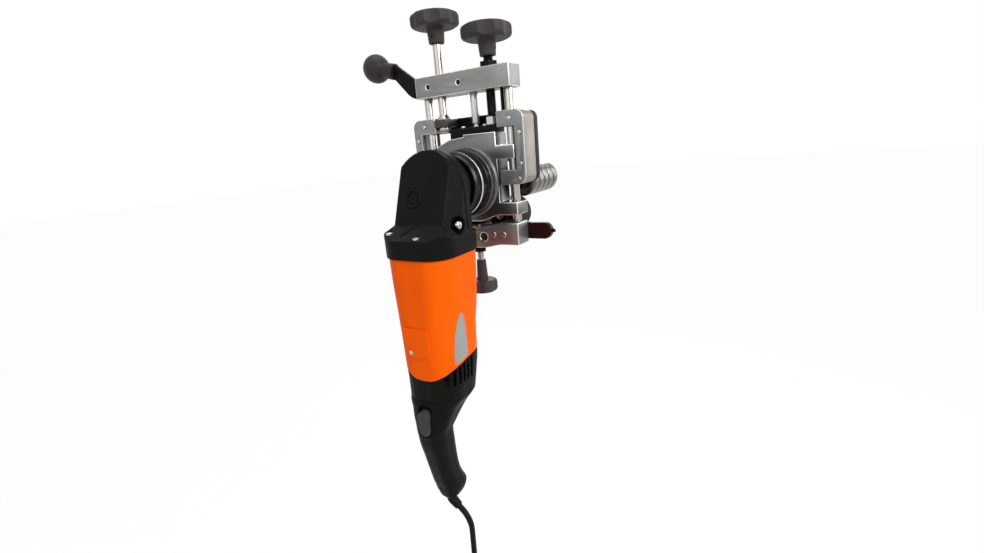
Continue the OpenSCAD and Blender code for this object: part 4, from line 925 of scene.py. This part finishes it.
motorScrews = {"flange": {"head": 3.5, "high": 2.0, "shank": 2, "length": 16.8, "recess": "cross"},
               "flangeSunk": 1.2,
               "flangeSpots": [(-27, -136.5, -25.3), (10, -141.5, -28.1), (31, -86, -30), (-31, -86, -30)],
               "bracket": {"head": 2.8, "high": 2, "shank": 1.5, "length": 16, "recess": "hex"},
               "bracketSpots": [(-8, -19, 70), (20, -19, 70)],
               "guardTurns": (45, 90, 135), "guardRadius": 33.0, "guardPin": [(1.5, -13), (1.5, 1)],
               "ringPlace": (0, -61.5, 41.5), "ringPin": [(1.6, -9), (1.6, 9)],
               "cover": {"head": 2.2, "high": 1.0, "shank": 1.5, "length": 9.5, "recess": "slot"},
               "coverFront": (-10, -146.4, -143.5), "coverRear": (0, -72.6, -141)}


def makeMotorScrews():
    bm = bmesh.new()
    for x, y, z in motorScrews["flangeSpots"]:
        addScrew(bm, (x, y, z - motorScrews["flangeSunk"]), (0, 0, 1), motorScrews["flange"])
    for spot in motorScrews["bracketSpots"]:
        addScrew(bm, spot, (0, 0, 1), motorScrews["bracket"])
    for turn in motorScrews["guardTurns"]:
        a, radius = math.radians(turn), motorScrews["guardRadius"]
        place = (radius * math.cos(a), 0, headSet["axisZ"] + radius * math.sin(a))
        addLathe(bm, place, (0, 1, 0), motorScrews["guardPin"], 24)
    addLathe(bm, motorScrews["ringPlace"], (1, 0, 0), motorScrews["ringPin"], 24)
    addScrew(bm, motorScrews["coverFront"], (0, -1, 0), motorScrews["cover"])
    addScrew(bm, motorScrews["coverRear"], (0, 1, 0), motorScrews["cover"])
    return pieceFrom("motorScrewsCut", bm, "motor_screws", sharpAngle=35)


makeFrameScrews()
makeCarriageScrews()
makeMotorScrews()


# machined pieces keep their solids' shape and get broken edges
# widths of the bright chamfers, which are partly a painted edge highlight
polishAndHighlightWidths = {"crossbar": 0.8, "bottom_bar": 0.8, "main_plate": 0.8, "front_plate_left": 0.45,
                  "front_plate_right": 0.45}
dullCircle = {"main_plate": (0, headSet["axisZ"], 39)}
brokenWidths = {"guide_rods": 0.6, "jam_nuts": 0.5, "handle_arm": 0.9, "c_block_left": 0.4,
                "c_block_right": 0.4, "rear_plate_left": 0.9, "rear_plate_right": 0.9, "tie_bar": 0.6,
                "screw_lug": 0.6, "slide_pin": 0.4, "roller_axles": 0.4, "clamp_screw": 0.3,
                "feed_bracket": 0.6, "guide_pin": 0.4, "clamp_ring": 0.4, "chip_guard": 0.6,
                "inner_axles": 0.4, "head_cap": 0.25, "milling_head": 0.3, "lock_button": 0.2}
for node, width in polishAndHighlightWidths.items():
    polishAndHighlightEdges(node, width, dullCircle.get(node))
for node, width in brokenWidths.items():
    dressNode(node, width)

rollers = {"nodes": {"outer_roller_left": -46.0, "outer_roller_right": 46.0}, "z": 8.3436, "edge": 0.25,
           "shadedGrooveRadius": 16.2, "ends": (9.5, 70.5)}


def makeRoller(node, x):
    bm = nodeShape(node)
    breakEdges(bm, rollers["edge"])
    for f in bm.faces:
        # groove floors get the dark finish: painted shade in the grooves
        c = f.calc_center_median()
        low = math.hypot(c.x - x, c.z - rollers["z"]) < rollers["shadedGrooveRadius"]
        f.material_index = 1 if low and rollers["ends"][0] < c.y < rollers["ends"][1] else 0
    return pieceFrom(node + "Turned", bm, node, [finish["roller_steel"], finish["roller_dark"]],
                     sharpAngle=32)


for node, x in rollers["nodes"].items():
    makeRoller(node, x)

# neck collar: radius and Y, with a bright front edge band that is a painted highlight
collar = {"profile": [(26, -40), (34.6, -40), (35.4, -40.8), (35.4, -46.6), (35.0, -47.2), (34.3, -47.4),
                      (34.3, -55.4), (33.7, -56.5), (32.8, -57), (26, -57)],
          "bright": (-56.6, -55.5)}


def makeCollar():
    bm = bmesh.new()
    profile = collar["profile"] + collar["profile"][:1]
    addLathe(bm, (0, 0, headSet["axisZ"]), (0, 1, 0), profile, 96, caps=False)
    bmesh.ops.remove_doubles(bm, verts=bm.verts, dist=0.001)
    for f in bm.faces:
        # the bright band gets the bright chamfer finish: a painted highlight
        f.material_index = 1 if collar["bright"][0] < f.calc_center_median().y < collar["bright"][1] else 0
    return pieceFrom("neckCollarTurned", bm, "neck_collar", [finish["dark_collar"], polishAndHighlightFinish],
                     sharpAngle=30)


makeCollar()
print("machined pieces dressed:", len(brokenWidths) + len(polishAndHighlightWidths) + len(rollers["nodes"]) + 1)

# the solids that show as they are get their finish
for node, solid in cadNodes.items():
    if not solid.hide_render:
        solid.data.materials.clear()
        solid.data.materials.append(finish[slotOf[node]])
print("solids kept:", sum(not o.hide_render for o in cadNodes.values()))


# studio, in metres; a lamp is its place, aim, size and power
studio = {"floorZ": cadBox[0].z - 0.004, "floorHalf": 14.0, "floorColour": (0.93, 0.93, 0.925),
          "floorRough": 0.8, "floorGlow": 0.96, "worldLight": 0.4,
          "lamps": {"keySoftbox": ((1.3, -0.45, 0.7), (0, -0.07, -0.05), 0.9, 18.0),
                    "frontFill": ((-0.2, -1.5, 0.6), (0, -0.07, -0.1), 1.2, 3.5),
                    "topSoftbox": ((0.1, -0.1, 1.5), (0, -0.07, 0), 1.2, 10.0),
                    "rearRim": ((-0.7, 1.2, 0.6), (0, -0.05, -0.05), 0.9, 9.0),
                    "rightRim": ((0.75, 1.05, 0.3), (0, -0.05, 0.05), 0.9, 4.0)}}


def backgroundRays(tree):  # rays that see the white background
    ray = tree.nodes.new("ShaderNodeLightPath")
    seen = mathNode(tree, "MAXIMUM", ray.outputs["Is Camera Ray"], ray.outputs["Is Glossy Ray"])
    return mathNode(tree, "MAXIMUM", seen, ray.outputs["Is Transmission Ray"])


def layFloor():
    mesh = bpy.data.meshes.new("studioFloor")
    h, z = studio["floorHalf"], studio["floorZ"]
    mesh.from_pydata([(-h, -h, z), (h, -h, z), (h, h, z), (-h, h, z)], [], [(0, 1, 2, 3)])
    floor = link("studioFloor", mesh)
    mat = bpy.data.materials.new("studioFloorFinish")
    mat.use_nodes = True
    tree = mat.node_tree
    shader = tree.nodes["Principled BSDF"]
    shader.inputs["Base Color"].default_value = (*studio["floorColour"], 1)
    shader.inputs["Roughness"].default_value = studio["floorRough"]
    glow, mix = tree.nodes.new("ShaderNodeEmission"), tree.nodes.new("ShaderNodeMixShader")
    tree.links.new(mathNode(tree, "MULTIPLY", backgroundRays(tree), studio["floorGlow"]), mix.inputs[0])
    tree.links.new(shader.outputs[0], mix.inputs[1])
    tree.links.new(glow.outputs[0], mix.inputs[2])
    tree.links.new(mix.outputs[0], tree.nodes["Material Output"].inputs["Surface"])
    mesh.materials.append(mat)


def lightStudio():
    world = bpy.data.worlds.new("studioWorld")
    bpy.context.scene.world = world
    world.use_nodes = True
    tree = world.node_tree
    back = tree.nodes["Background"]
    back.inputs["Color"].default_value = (1, 1, 1, 1)
    tree.links.new(mathNode(tree, "MAXIMUM", backgroundRays(tree), studio["worldLight"]),
                   back.inputs["Strength"])
    for name, (place, aim, size, power) in studio["lamps"].items():
        data = bpy.data.lights.new(name, "AREA")
        data.shape, data.size, data.energy = "DISK", size, power
        lamp = link(name, data)
        lamp.location = place
        lamp.rotation_euler = (Vector(aim) - Vector(place)).to_track_quat("-Z", "Y").to_euler()
    bpy.context.scene.view_settings.view_transform = "Standard"


layFloor()
lightStudio()
print("studio lit")
